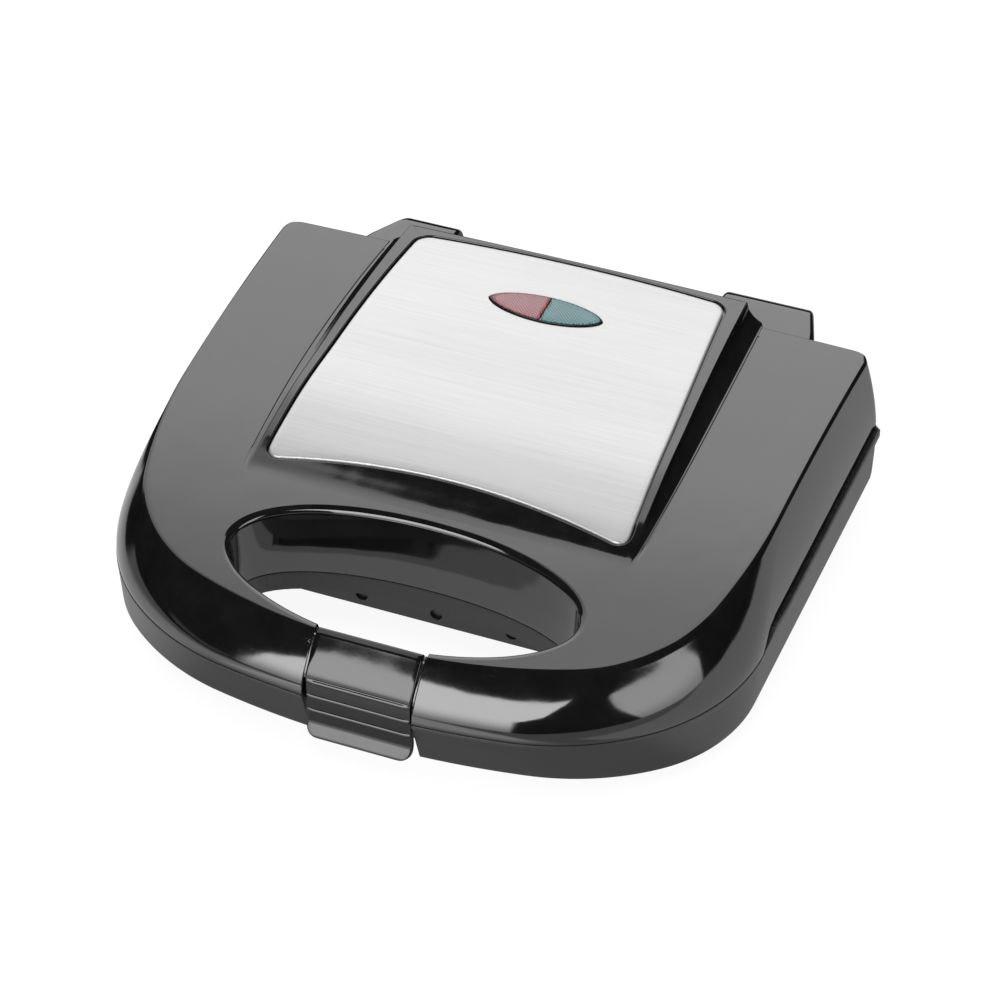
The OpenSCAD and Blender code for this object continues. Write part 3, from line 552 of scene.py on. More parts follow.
def lid_shell_skin():
    """The lid: a top of four patches round the opening and the recess, the
    wall with its shoulder, the opening's wall and the notch for the latch."""
    wall, corner, (a_row, round_row, b_row), n_side, xs = lid_plan()
    k2 = len(xs) - 30
    x0 = LID_X0
    skin = Skin()
    # wall: rounded crest, shoulder, rounded lower edge, ledge and return
    skin.pair(soft_corner(round_row, b_row, wall[0]), ((0, 0, 20), 1))
    skin.pair(wall, ((0, 0, 40), 1))
    n = edge_normal(wall[-1])
    down = wall[-1] - (0, 0, LIP_R)
    skin.pair(soft_corner(wall[-1], down, down - LIP_R * n, 4), DOWN)
    skin.pair([down - LIP_R * n, down - WALL * n, down - WALL * n + (0, 0, 2.5)], DOWN)
    # side strips of the top
    i0 = int(np.argmin(np.abs(a_row[:n_side, 1] - STRIP_Y)))
    yc = a_row[i0, 1]
    edge = join(a_row[i0:n_side, :2], a_row[n_side:n_side + 1, :2])
    x, f = across(edge[:, 1], edge[:, 0])
    x[-1] = xs[:k2]
    share = (edge[:, 1] - yc) / (edge[-1, 1] - yc)
    y = yc + (rear_edge(xs[:k2]) - SOFT - yc) * share[:, None]
    x = join(edge[:, :1], x, axis=1)
    y = join(edge[:, 1:], y, axis=1)
    f = join(f[:, :1] * 0, f, axis=1)
    strip = points(x, y, top_z(y, f))
    skin.pair(round_corner(strip, corner), UP)
    # collar round the recess of the panel
    front = on_crown(points(np.linspace(0, x[0, -1], 34), yc))
    back = a_row[n_side + 4 + k2:]
    outer = [front, strip[:, -1], back]
    spreads = [even(len(front)), share, even(len(back))]
    gap = 0.9
    for o, p in zip(outer, panel_line(gap + 0.3, spreads)):
        sheet = on_crown(mix(p, o[:, :2], even(12, 2)))
        sheet[-1] = o
        skin.pair(sheet, UP)
    # recess: rounded edge, wall, floor
    a, b, c, deep = [on_crown(join(*panel_line(gap + grow, spreads)), up)
                     for grow, up in ((0.3, 0), (0, 0), (-0.05, -0.3), (-0.05, -1.25))]
    skin.pair(soft_corner(a, b, c, 4), ((0, 20, 200), 1))
    skin.pair([c, deep], ((0, 20, 50), -1))
    skin.pair(points(deep[:, 0] * np.linspace(1, 0, 6)[:, None], deep[:, 1], deep[:, 2]), UP)
    # front of the top, between the opening and the crest
    outer = join(a_row[:i0 + 1], strip[0, 1:], front[::-1][1:])
    ang = np.arctan2((outer[:, 1] - GRIP_Y) / 25.0, outer[:, 0] / GRIP_A)
    share = (ang - ang[0]) / (math.pi / 2 - ang[0])
    z0 = wing_z(grip_line(share, 50.0, 0, x0)[:, 1])
    for _ in range(2):
        lip = grip_line(share, z0, 0, x0)
        z0 = wing_z(lip[:, 1])
    far = on_wing(grip_line(share, z0, GRIP_SOFT, x0))
    plate = on_wing(mix(far[:, :2], outer[:, :2], even(22, 2) ** 1.15))
    plate[-1] = outer
    skin.pair(plate, UP)
    # wall of the opening
    lip = lift(lip, z0)
    z1 = z0 - GRIP_SOFT
    start = lift(grip_line(share, z1, 0, x0), z1)
    skin.pair(soft_corner(far, lip, start, 6), ((0, GRIP_Y, 200), 1))
    zz = mix(z1, LID_LOW + LIP_R, even(14, 1))
    bore = lift(grip_line(share, zz, 0, x0), zz)
    skin.pair(bore, ((0, GRIP_Y, 40), -1))
    foot, wide, outside = [lift(grip_line(share, LID_LOW, grow, x0), LID_LOW)
                           for grow in (0, LIP_R, WALL)]
    skin.pair(soft_corner(bore[-1], foot, wide, 4), DOWN)
    skin.pair([wide, outside, outside + (0, 0, 5)], DOWN)
    # notch beside the latch: contour up the bore, over the top, down the
    # shoulder, rounded into a flat wall
    path = join(bore[::-1, 0], plate[1:, 0], b_row[:1], wall[:, 0], down[:1])
    path = resample(path, even(81))
    tan = tangent(path)
    out = points(0 * tan[:, 0], tan[:, 2], -tan[:, 1])
    out *= np.sign(((path - (0, -99.0, 33.0)) * out)[:, 1:].sum(1, keepdims=True))
    edge = path - (0.4, 0, 0)
    inner = edge - 0.4 * out
    skin.pair(soft_corner(path, edge, inner), (-1, 0, 0))
    half = len(path) // 2
    skin.pair(mix(inner[:half + 1], inner[:half - 1:-1], even(5, 2)), (-1, 0, 0))
    # bar behind the latch
    xb = np.linspace(-NOTCH, NOTCH, 13)
    oval = 1 - (np.abs(xb) / (GRIP_A - 1.6)) ** GRIP_NF
    yr = GRIP_Y - (GRIP_F - 1.6) * oval ** (1 / GRIP_NF)
    prof = [(None, 26.05), (None, 31.2), (None, 31.4), (-101.1, 31.4), (-101.5, 31.2),
            (-105.3, 28.6), (-105.5, 28.3), (-105.5, 26.05), (-96, 26.05)]
    rows = [points(xb, yr - (0.2 if z == 31.4 else 0) if y is None else 0 * xb + y, 0 * xb + z)
            for y, z in prof]
    skin.add(np.stack(rows), ((0, -100, 28), 1))
    # ledges in the gaps beside the latch, under the line of its leaf
    p, _, out = latch_path()
    some = p[:, 1] > 31.6
    loop = join((p - out)[some], (p - 3.0 * out)[some][::-1])
    for s in (-1, 1):
        carried(skin, loop, s * 18.85 - 0.45, s * 18.85 + 0.45, 0.12)
    return skin


# ---- ears

def carried(skin, loop, x0, x1, r=0.3):
    """Closed loop of (y, z) carried along X, its ends rounded by drawing it
    in towards its middle, and closed there."""
    loop = join(loop, loop[:1]) if np.abs(loop[0] - loop[-1]).max() > 1e-9 else loop
    c = loop[:-1].mean(0)
    far = np.linalg.norm(loop - c, axis=1, keepdims=True)
    a = np.linspace(0, math.pi / 2, 4)
    x = join([x0, x0], x0 + r - r * np.cos(a), (x1 - r + r * np.cos(a))[::-1], [x1, x1])
    e = join([1, 0.5], r - r * np.sin(a), (r - r * np.sin(a))[::-1], [0.5, 1])
    share = np.ones((len(x), len(loop)))
    share[2:-2] = 1 - e[2:-2, None] / np.maximum(far[:, 0], r + 0.05)
    share[[0, -1]] = 0
    share[[1, -2]] = 0.5
    yz = c + (loop - c) * share[..., None]
    grid = join(np.broadcast_to(x[:, None, None], yz.shape[:2] + (1,)), yz, axis=-1)
    skin.add(grid, (((x0 + x1) / 2, *c), 1))


def ring(y, z, r):
    a = np.linspace(0, 2 * math.pi, 41)
    return points(y + r * np.cos(a), z + r * np.sin(a))


def ears(skin):
    """Two hollow ears over the hinge: a top that falls slightly to a rounded
    rear corner and a sloping back, inset by e where the ends round over,
    then the cheeks. The outer cheek closes in towards the rear, by a
    third to a half of a millimetre for each one back, except round the
    hinge. A strip joins the outside to the inside along the bottom."""
    q = 1.7
    y = np.linspace(80.5, 100.4, 8)
    top = points(y, 57.55 - 0.085 * (y - 86))
    t = even(12, 1)[1:]
    bend = quad(top[-1], np.array([105.6, 55.9]), np.array([107.0, 51.6]), t)
    back = mix(bend[-1], np.array([HINGE_Y + EAR_R, HINGE_Z]), t)
    line = join(top, bend, back)
    inward = right_of(line)

    def section(e):
        """The line inset by e: by up to 4 square to it, then towards the
        hinge, and never below it."""
        p = line + inward * min(e, 4.0)
        p = points(p[:, 0], np.maximum(p[:, 1], HINGE_Z))
        return mix(p, np.array([HINGE_Y, HINGE_Z + 2.0]), max(0.0, e - 4.0) / (EAR_R - 4.0))

    def shut(rows, x1, lean):
        """Grid of the sections at each x and inset in rows, the points near
        the outer cheek moved towards the other."""
        grid = np.stack([np.insert(section(e), 0, x, axis=1) for x, e in rows])
        x, y, z = np.moveaxis(grid, -1, 0)
        near = ease((x - x1 + 12) / 12)
        clear = ease((np.hypot(y - HINGE_Y, z - HINGE_Z) - 8.5) / 6.5)
        grid[..., 0] = x - lean * near * np.clip(y - 87, 0, None) * clear
        return grid

    x0 = 49.7
    cheek = [22.7, 19, 16, 13.5, 11, 9, 7, 5.5, 4.0, 2.6]
    side = len(cheek) - 1
    for s, x1, lean in ((1, 87.9, 0.33), (-1, 79.8, 0.48)):
        flip = np.array([s, 1.0, 1.0])
        mid = ((x0 + x1) / 2 * s, 85, 35)
        a = np.linspace(0, math.pi / 2, 7)
        between = np.linspace(x0 + q, x1 - q, 8)[1:-1]
        x = join(x0 + q - q * np.sin(a[::-1]), between, x1 - q + q * np.sin(a))
        e = join(q - q * np.cos(a[::-1]), 0 * between, q - q * np.cos(a))
        rows = [(x0, k) for k in cheek] + list(zip(x, e)) + [(x1, k) for k in cheek[::-1]]
        outside = shut(rows, x1, lean)
        skin.add(outside * flip, (mid, 1))
        place = np.linspace(x0 + WALL, x1 - WALL, 8)
        inner = [(x0 + WALL, k) for k in cheek[:-1]] + [(xx, WALL) for xx in place]
        inside = shut(inner + [(x1 - WALL, k) for k in cheek[:-1][::-1]], x1 - WALL, lean)
        skin.add(inside * flip, (mid, -1))
        low = inside[side:-side, -1]
        at = np.interp([xx for xx, _ in rows[side:-side]], place, range(len(place)))
        k = np.clip(at.astype(int), 0, len(place) - 2)
        middle = mix(low[k], low[k + 1], (at - k)[:, None])
        low = join(inside[:side, -1], middle, inside[-side:, -1])
        skin.add(np.stack([outside[:, -1], low], axis=1) * flip, DOWN)
        for lo, hi in ((x0, x0 + WALL), (x1 - WALL, x1)):
            carried(skin, ring(HINGE_Y, HINGE_Z, 5.3), *sorted((s * lo, s * hi)))
    return skin


# ---- panel and lens

def lens_edge(x, grow=0.0):
    """Half width of the lens at x: its full half width times
    1 - (x / half length)^2 to the power 0.6."""
    u = np.abs(x) / (LENS_L + grow)
    return (LENS_W + grow) * np.maximum(0, 1 - u * u) ** 0.6


def panel_skin():
    """Brushed sheet: rings between its outline and the hole for the lens on
    the crown surface, a rolled edge and the wall of the sheet."""
    skin = Skin()
    spreads = [even(40), even(90), even(40)]
    outer, fine = [join(*panel_line(g, spreads)) for g in (-0.8, 0.0)]
    ang = np.arctan2(outer[:, 1] - LENS_Y, outer[:, 0])
    share = (ang + math.pi / 2) / math.pi
    x = (LENS_L + 0.6) * np.sin(math.pi * share)
    s = np.where(share < 0.5, -1, 1)
    hole = points(x, LENS_Y + s * lens_edge(x, 0.6))
    skin.pair(on_crown(mix(outer, hole, even(30, 2))), UP)
    low = on_crown(fine, -0.8)
    skin.pair(soft_corner(on_crown(outer), on_crown(fine, -0.05), low), ((0, 20, 40), 1))
    skin.pair([low, on_crown(fine, -1.15), on_crown(outer, -1.2)], ((0, 20, 90), 1))
    skin.pair([on_crown(hole), on_crown(hole, -1.0)], ((0, LENS_Y, 60), -1))
    return skin


def lens_skin(s):
    """Half of the pointed oval lens: its outline carried up, rounded over
    and drawn in to the middle in a shallow dome."""
    skin = Skin()
    x = 0.1 + (LENS_L - 0.1) * np.sin(np.linspace(0, math.pi / 2, 40))
    x = join(x, x[-2::-1])
    y = np.where(np.arange(len(x)) < 40, 1, -1) * lens_edge(x)
    seam = np.linspace(y[-1], y[0], 16)[1:]
    loop = join(points(x, y), points(0.1, seam))
    c = np.array([7.0, 0.0])
    d = loop - c
    far = np.linalg.norm(d, axis=1, keepdims=True)
    drawn = np.array([0, 0, 0.02, 0.12, 0.3, 0.55, 0.9])[:, None, None]
    t = even(12)[1:]
    xy = c + d * (1 - drawn / np.maximum(far, 1.2))
    xy = join(xy, mix(xy[-1], c, t[:, None, None]))
    h = join([-4.0, 0.1, 0.36, 0.52, 0.6, 0.63, 0.65], 0.65 + 0.35 * (1 - (1 - t) ** 2))[:, None]
    y = xy[..., 1] + LENS_Y
    grid = points(xy[..., 0] * s, y, top_z(y, 1) + h)
    return skin.add(grid, ((7.0 * s, LENS_Y, 55), 1))


# ---- latch

def latch_path():
    """Side view of the latch leaf from its top edge to the tip of its tab:
    the shoulder curve stood 0.3 proud, held back by a soft maximum at
    2.0 behind the front, a straight drop and a short flare, with
    the run along it and the outward normal."""
    zt = float(wing_z(FRONT + 12))
    u, v = shoulder(even(60))
    y = FRONT + 2.0 + above(12 - 12.6 * u - 2.0, 0.8)
    z = zt + 0.3 - (zt - PARTING + 0.1) * v
    ends = np.array([[2.6, 14.5], [2.6, 13.6], [2.1, 12.9]]) + (FRONT, 0)
    bend = quad(*ends, even(16, 1))
    p = join([[FRONT + 14.6, zt + 0.9]], points(y, z), bend, [[FRONT - 0.3, 9.3]])
    p = resample(p, even(150))
    out = right_of(p)
    return p, run_along(p), out * np.sign(0.3 * out[:, 1:] - out[:, :1])


def latch_skin():
    """The leaf: a rounded strip section carried down the side view, with two
    beads and a fine groove across it and the tab's corners cut round."""
    skin = Skin()
    p, run, out = latch_path()
    total = run[-1]
    tips = np.array([0, 0, 0, 0.15, 0.5])
    keep = join(tips, run[(run > 0.8) & (run < total - 0.8)], total - tips[::-1])
    ends = [0, 0.3, 0.62, 0.84, 0.97]
    pinch = join(ends, np.ones(len(keep) - 10), ends[::-1])[:, None]
    y, z, ny, nz = [np.interp(keep, run, q)[:, None] for q in (*p.T, *out.T)]
    r = 4.0
    past = np.maximum(0, keep - total + r)
    w = LATCH_W - (r - np.sqrt(np.maximum(0, r * r - past ** 2)))
    q, u = 0.55, 0.4
    a = np.linspace(0, math.pi / 2, 6)
    edge_x = join(-q + q * np.sin(a), [0.0], (-u + u * np.sin(a))[::-1])
    edge_d = join(q - q * np.cos(a), [LATCH_T / 2], (LATCH_T - u + u * np.cos(a))[::-1])
    flat = even(16)[:-1]
    cols_x = join(flat * (LATCH_W - q), LATCH_W + edge_x, (flat * (LATCH_W - u))[::-1])
    cols_d = join(0 * flat, edge_d, LATCH_T + 0 * flat)
    x = np.minimum(cols_x, cols_x * (w / LATCH_W)[:, None])
    d = LATCH_T / 2 + (cols_d - LATCH_T / 2) * pinch
    bead = lambda z0: 0.6 * np.maximum(0, 1 - ((z - z0) / 0.8) ** 2) ** 0.75
    groove = 0.4 * np.exp(-((z - 32.1) / 0.36) ** 2) - 0.25 * np.exp(-((z - 31.2) / 0.4) ** 2)
    front = ease((LATCH_W - 0.35 - np.abs(x)) / 0.4) * (cols_d < 0.01)
    d = d - (bead(25.2) + bead(18.8) - groove) * front
    skin.pair(points(x, y - ny * d, z - nz * d), ((0, -92.0, 26.0), 1))
    # hook, cheeks and boss behind the leaf, and returns along its sides
    f = FRONT
    hook = np.array([[f + 3.6, 18.7], [f + 8.2, 18.7], [f + 8.2, 17.6], [f + 3.6, 15.8]])
    carried(skin, hook, -11, 11, 0.25)
    inside = p - out * 1.2
    span = lambda lo, hi: inside[(inside[:, 1] > lo) & (inside[:, 1] < hi)]
    arm = join(span(30, 38.5), [[PIVOT[0], 31.0], [-97.4, 33.5], [-99.0, 37.0]])
    high = join(span(32.6, 42.6), [[-101.7, 32.3], [-97.6, 33.2], [-96.6, 36.0], [-96.2, 40.5]])
    low = join(span(13.6, 31.0), [[-104.7, 24.0], [-104.6, 15.5]])
    cheek, brim = (13.7, 1.15), (LATCH_W - 0.75, 0.65)  # middle, half width
    for s in (-1, 1):
        for loop, (x, half) in ((arm, cheek), (ring(*PIVOT, 2.9), cheek),
                                (high, brim), (low, brim)):
            carried(skin, loop, s * x - half, s * x + half, 0.2)
    return skin


# ---- base

def base_wall(slot_shadow_sheet):
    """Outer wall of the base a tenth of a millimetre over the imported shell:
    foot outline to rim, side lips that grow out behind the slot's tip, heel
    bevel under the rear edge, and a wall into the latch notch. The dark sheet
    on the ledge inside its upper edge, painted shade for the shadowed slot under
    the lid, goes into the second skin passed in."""
    skin = Skin()
    off, x0, tray = 0.12, 19.35, 25.79
    foot, rim = inset(FOOT, -off), inset(RIM, -off)
    shares = even_shares([FOOT, RIM], x0, 1.6)
    sides = even(90)[1:]
    levels = np.array([6.02, 6.1, 6.4, 7, 8.5, 10, 11, 12, 14, 17, 20, 23, 24.5])
    upper = np.array([0.12, 0.25, 0.4, 0.55, 0.7, 0.85, 1.0])
    u = join(np.clip((levels - 7) / 18.75, 0, 1), 0 * upper + 1)
    tuck = 0 * u
    tuck[:3] = 1.1, 0.8, 0.35
    still = 80.0        # a depth behind the step, where heights are level

    def edge_at(x):
        return np.where(x > 113.7, REAR - 4.45 - 0.3 * (x - 113.8), rear_bow(x)) + off

    def heights(y):
        top = step_z(y, BASE_TOP, LIP_TOP) + 0.03 - LIP_R
        return join(np.repeat(levels[:, None], len(y), 1), mix(levels[-1], top, upper[:, None]))

    def bulge(y, z):
        s = np.clip((y - FRONT - 72) / 24, 0, 1)
        return 1.4 * s * (2 - s) * ease((z - 25.5) / 1.9)

    arcs = mix(arc_part(foot, x0, shares), arc_part(rim, x0, shares), u[:, None, None])
    arcs = arcs - tuck[:, None, None] * right_of(arcs)
    za = heights(arcs[-1, :, 1])
    out = bulge(still, heights([still])[:, 0]) - tuck
    f, cut, length = side_cut(foot, rim, u, edge_at, out, 6)
    share = sides * (f - BEND / length[-1])[:, None]
    side = mix(side_part(foot, share), side_part(rim, share), u[:, None, None])
    zs = heights(side[-1, :, 1])
    side = side + points(bulge(side[..., 1], zs) - tuck[:, None], 0 * zs)
    line, run = rear_line(edge_at, 14, 40, 300)
    at_cut = np.interp(-cut[:, 0], -line[:, 0], run) + BEND
    at = mix(at_cut[:, None], run[-1], even(70))
    rear = at_length(line, run, at) - points(0, tuck)[:, None]
    xy = join(arcs, side, fillet(side, cut, rear), rear, axis=1)
    z = join(za, zs, heights(np.full(xy.shape[1] - za.shape[1] - zs.shape[1], still)), axis=1)
    heel_y, heel_z = 84.2, 11   # where the bevel turns
    heel = off + np.where(z > heel_z, heel_y + (z - heel_z) * 21 / 11,
                          heel_y - (heel_z - z) * 5 / 6)
    xy[..., 1] = np.minimum(xy[..., 1], heel)
    wall = lift(xy, z)
    skin.pair(wall, ((0, 0, 12), 1))
    # rounded upper edge, ledge and inner side of the lips
    n = edge_normal(wall[-1])
    up = wall[-1] + (0, 0, LIP_R)
    skin.pair(soft_corner(wall[-1], up, up - LIP_R * n, 4), UP)
    ledge = up - 2.42 * n
    lowest = lift(ledge[:, :2], tray)
    skin.pair([up - LIP_R * n, up - 0.5 * n], UP)
    # painted shade: a dark rubber sheet over the ledge stands in for the shadow in the slot
    # under the lid
    slot_shadow_sheet.pair([up - 0.5 * n, ledge, lowest, lowest - 0.4 * n], UP)
    # wall into the notch
    col = join(wall[:, 0], up[:1])
    edge = col - (0.47, 0, 0)
    deep = edge + (0, 0.35, 0)
    skin.pair(soft_corner(col, edge, deep), (-1, -1, 0))
    skin.pair([deep, deep + (0, 4.0, 0)], (-1, 0, 0))
    # sleeve in the handle opening
    def level(z, grow=-0.1):
        return lift(grip_line(even(90), z, grow), z)

    bore = np.stack([level(z) for z in (25.45, 24, 22, 20.5, 19.3, 19.0)])
    skin.pair(soft_corner(bore[0], level(tray), level(tray, LIP_R), 4), UP)
    skin.pair(bore, ((0, GRIP_Y, 22), -1))
    skin.pair([bore[-1], level(18.85), level(18.8, WALL) + (0, 0, 0.02)], DOWN)
    return skin


# ---- shader maths

class Sock:
    """A socket in a node tree. Arithmetic on it adds Math nodes, and node()
    adds any other node."""

    def __init__(self, tree, socket=None):
        self.tree, self.socket = tree, socket

    def node(self, kind, inputs={}, out=0, **settings):
        """Node of a type: its settings first, then values or links of its
        sockets, by name or number. Returns one of its outputs."""
        n = self.tree.nodes.new("ShaderNode" + kind)
        for key, value in settings.items():
            setattr(n, key, value)
        for key, value in inputs.items():
            if isinstance(value, Sock):
                self.tree.links.new(value.socket, n.inputs[key])
            else:
                n.inputs[key].default_value = value
        return Sock(self.tree, n.outputs[out])

    def math(self, kind, *terms):
        return self.node("Math", dict(enumerate(terms)), operation=kind)

    def size(self):
        return self.math("ABSOLUTE", self)

    def at_least(self, o):
        return self.math("MAXIMUM", self, o)

    def step(self, lo, hi, a=0.0, b=1.0):
        """Smooth change from a to b as this goes from lo to hi."""
        return self.node("MapRange", {0: self, 1: lo, 2: hi, 3: a, 4: b},
                         interpolation_type="SMOOTHSTEP")

    def fall(self, lo, hi):
        return self.step(lo, hi, 1.0, 0.0)

    def between(self, lo, hi, soft):
        """1 between lo and hi, with soft ends."""
        return self.step(lo - soft, lo + soft) * self.fall(hi - soft, hi + soft)

    def blend(self, a, b):
        """Colour a where this is 0 and b where it is 1."""
        return self.node("Mix", {0: self, 6: a, 7: b}, 2, data_type="RGBA")

    def shade(self, lo, hi, a, b):
        """Colour from a to b as this goes from lo to hi."""
        return self.step(lo, hi).blend(grey(a), grey(b))

    def along(self, scale, shift=(0, 0, 0), turn=(0, 0, 0)):
        """This vector scaled for a texture."""
        return self.node("Mapping", {0: self, 1: shift, 2: turn, 3: scale})

    def noise(self, scale, detail=3.0, rough=0.5):
        return self.node("TexNoise", {"Vector": self, "Scale": scale, "Detail": detail,
                                      "Roughness": rough})

    def bump(self, strength, distance):
        """Normal raised by this height."""
        return self.node("Bump", {"Strength": strength, "Distance": distance, "Height": self})

    def axis(self, k):
        return self.node("SeparateXYZ", {0: self}, k)


for sign, kind in (("add", "ADD"), ("sub", "SUBTRACT"), ("mul", "MULTIPLY"),
                   ("truediv", "DIVIDE"), ("pow", "POWER")):
    setattr(Sock, f"__{sign}__", lambda a, b, kind=kind: a.math(kind, a, b))
    setattr(Sock, f"__r{sign}__", lambda a, b, kind=kind: a.math(kind, b, a))


def grey(v):
    """Colour of one linear value, or of three."""
    return (v, v, v, 1.0) if np.isscalar(v) else (*v, 1.0)


def object_mm(tree):
    """Object coordinate in millimetres."""
    return Sock(tree).node("TexCoord", out=3).along((1000, 1000, 1000))


def material(name, fixed):
    """Material with a Principled shader, fixed values on its sockets."""
    mat = bpy.data.materials.new(name)
    mat.use_nodes = True
    tree = mat.node_tree
    shader = tree.nodes["Principled BSDF"]
    for key, value in fixed.items():
        shader.inputs[key].default_value = value
    return mat, tree, shader


def finish(name, build, fixed={}):
    """Material with what build(place) returns linked to its colour,
    roughness and normal."""
    mat, tree, shader = material(name, fixed)
    for key, value in zip(("Base Color", "Roughness", "Normal"), build(object_mm(tree))):
        tree.links.new(value.socket, shader.inputs[key])
    return mat


# ---- finishes

def gloss_black(p):
    """Piano black: a long faint ripple from the mould, fine dust haze and a
    few short hairlines in the roughness."""
    ripple = p.noise(0.035, 2.0)
    peel = p.noise(0.55, 2.0)
    haze = p.noise(0.09, 5.0, 0.62)
    hair = p.along((0.25, 2.6, 1.0), turn=(0, 0, 0.5)).noise(1.0, 2.0).step(0.66, 0.74)
    dust = p.noise(2.6, 1.0).step(0.70, 0.78)
    return (haze.shade(0.35, 0.75, 0.006, 0.011),
            0.05 + 0.035 * haze + 0.05 * hair + 0.12 * dust,
            (ripple + peel * 0.012).bump(0.35, 0.0006))


def satin_black(p):
    """Moulded satin black: fine spark grain, faint flow shades, rubbed a
    little smoother in patches."""
    grain = p.noise(3.2, 3.0, 0.6)
    flow = p.along((0.02, 0.02, 0.06)).noise(1.0, 4.0)
    rub = p.noise(0.06, 4.0, 0.6)
    return (flow.shade(0.3, 0.7, 0.032, 0.044),
            0.31 + 0.10 * grain + 0.06 * rub,
            grain.bump(0.12, 0.0001))


def inner_black(p):
    """Unpolished black inside the shells, with a coarser grain."""
    grain = p.noise(2.0, 4.0, 0.65)
    patch = p.noise(0.05, 3.0)
    return (patch.shade(0.3, 0.7, 0.018, 0.028),
            0.55 + 0.15 * grain,
            grain.bump(0.2, 0.00012))


def nonstick(p):
    """Non-stick coat on cast aluminium: speckle, orange peel and light
    cooking marks."""
    speck = p.noise(5.0, 2.0).step(0.62, 0.70)
    peel = p.noise(1.3, 3.0)
    mark = p.noise(0.07, 5.0, 0.7).step(0.5, 0.75)
    base = mark.blend(grey(0.022), grey(0.034))
    return (speck.blend(base, grey(0.075)),
            0.38 + 0.12 * mark + 0.08 * peel,
            peel.bump(0.3, 0.00015))


def heater_sheath(p):
    """Annealed steel sheath: straw and blue heat colour in bands."""
    band = p.noise(0.05, 3.0)
    fine = p.noise(1.8, 4.0, 0.6)
    tint = band.shade(0.35, 0.65, (0.33, 0.27, 0.20), (0.20, 0.21, 0.24))
    return (fine.step(0.4, 0.7).blend(tint, grey((0.13, 0.12, 0.11))),
            0.34 + 0.22 * fine, fine.bump(0.15, 0.0001))


def foil_steel(p):
    """Rolled sheet inside: long rolling lines and dull blotches."""
    line = p.along((0.05, 3.0, 3.0)).noise(1.0, 3.0)
    blotch = p.noise(0.08, 4.0, 0.6)
    return (blotch.shade(0.3, 0.7, (0.58, 0.58, 0.57), (0.70, 0.70, 0.69)),
            0.24 + 0.2 * blotch + 0.08 * line, line.bump(0.12, 0.0001))


def white_ceramic(p):
    """Pressed steatite with grey specks."""
    speck = p.noise(4.0, 2.0).step(0.66, 0.72)
    cloud = p.noise(0.4, 3.0)
    return (speck.blend(cloud.blend(grey((0.66, 0.63, 0.56)), grey((0.76, 0.73, 0.67))),
                        grey((0.3, 0.28, 0.25))),
            0.5 + 0.15 * cloud, cloud.bump(0.1, 0.0001))


def foot_rubber(p):
    """Matt rubber with a bloom of dust."""
    bloom = p.noise(0.5, 5.0, 0.65)
    grain = p.noise(4.0, 3.0)
    return (bloom.shade(0.4, 0.75, 0.016, 0.040),
            0.72 + 0.15 * bloom, grain.bump(0.2, 0.0001))


def plated_steel(p):
    """Zinc plated screws and pins: turned lines and small dull spots."""
    turned = p.along((0.6, 6.0, 6.0)).noise(1.0, 2.0)
    spot = p.noise(1.4, 4.0, 0.6)
    return (spot.shade(0.4, 0.7, (0.52, 0.53, 0.55), (0.40, 0.41, 0.42)),
            0.22 + 0.16 * spot, turned.bump(0.15, 0.0001))


def brushed_steel(p):
    """Panel brushed from side to side: long fine lines in three widths that
    shade the colour, the roughness and the normal, and a very slow change
    in tone over the sheet."""
    fine = p.along((0.035, 9.0, 1.0)).noise(1.0, 2.0, 0.6)
    wide = p.along((0.012, 2.2, 1.0)).noise(1.0, 3.0, 0.6)
    mark = p.along((0.05, 16.0, 1.0), shift=(7, 3, 0)).noise(1.0, 1.0).step(0.64, 0.78)
    slow = p.noise(0.014, 2.0)
    tone = (0.55 * fine + 0.45 * wide).step(0.3, 0.7)
    base = tone.blend(grey((0.80, 0.802, 0.80)), grey((0.93, 0.93, 0.925)))
    return ((mark * 0.45).blend(base, grey((0.68, 0.68, 0.67))),
            0.35 + 0.07 * wide + 0.05 * slow,
            (fine + wide * 0.7).bump(0.25, 0.00006))


def lens_finish(deep, bright, edge, dark):
    """Moulded lens over a lamp: small pyramids pressed in the back, whose light
    and dark facets are painted into the colour as painted highlights and shade,
    and a clear gloss over them. The colour gathers along the outline and the
    seam, broken into short dashes, and at the very outline it is painted near
    black as painted shade on the lens's side in its hole: the outline is where
    (x / length)^2 plus (y / width)^(5/3) comes to 1."""
    def build(p):
        cell = p.along((1.15, 1.15, 0.0), turn=(0, 0, 0.78))
        a, b = cell.axis(0), cell.axis(1)
        ridge = a.math("PINGPONG", a, 0.5) + b.math("PINGPONG", b, 0.5)
        cloud = p.noise(0.16, 3.0)
        # painted highlights and shade: each facet lit or shaded by the height of the pyramids
        lit = (ridge * 1.3 + cloud * 0.4).step(0.35, 1.25)
        x, y = p.axis(0) * (1 / LENS_L), (p.axis(1) - LENS_Y) * (1 / LENS_W)
        out = x * x + y.size() ** 1.667
        rim = out.step(0.74, 0.90).at_least(x.size().fall(0.04, 0.075))
        dash = p.node("TexNoise", {"W": p.axis(0) + p.axis(1) * 0.6, "Scale": 1.1,
                                   "Detail": 1.0}, noise_dimensions="1D")
        # painted shade: near black at the very outline, on the lens's side in its hole
        line = out.step(0.90, 0.97).blend(dash.shade(0.46, 0.56, dark, edge), grey(0.006))
        return (rim.blend(lit.blend(grey(deep), grey(bright)), line),
                0.14 + 0.10 * cloud,
                ridge.bump(0.4, 0.0003))
    return build


def neon_glass(p):
    """Small lamp bulb: clear glass with a warm electrode haze."""
    haze = p.noise(0.9, 3.0)
    return (haze.shade(0.4, 0.7, (0.75, 0.55, 0.45), (0.85, 0.78, 0.72)),
            0.08 + 0.1 * haze)


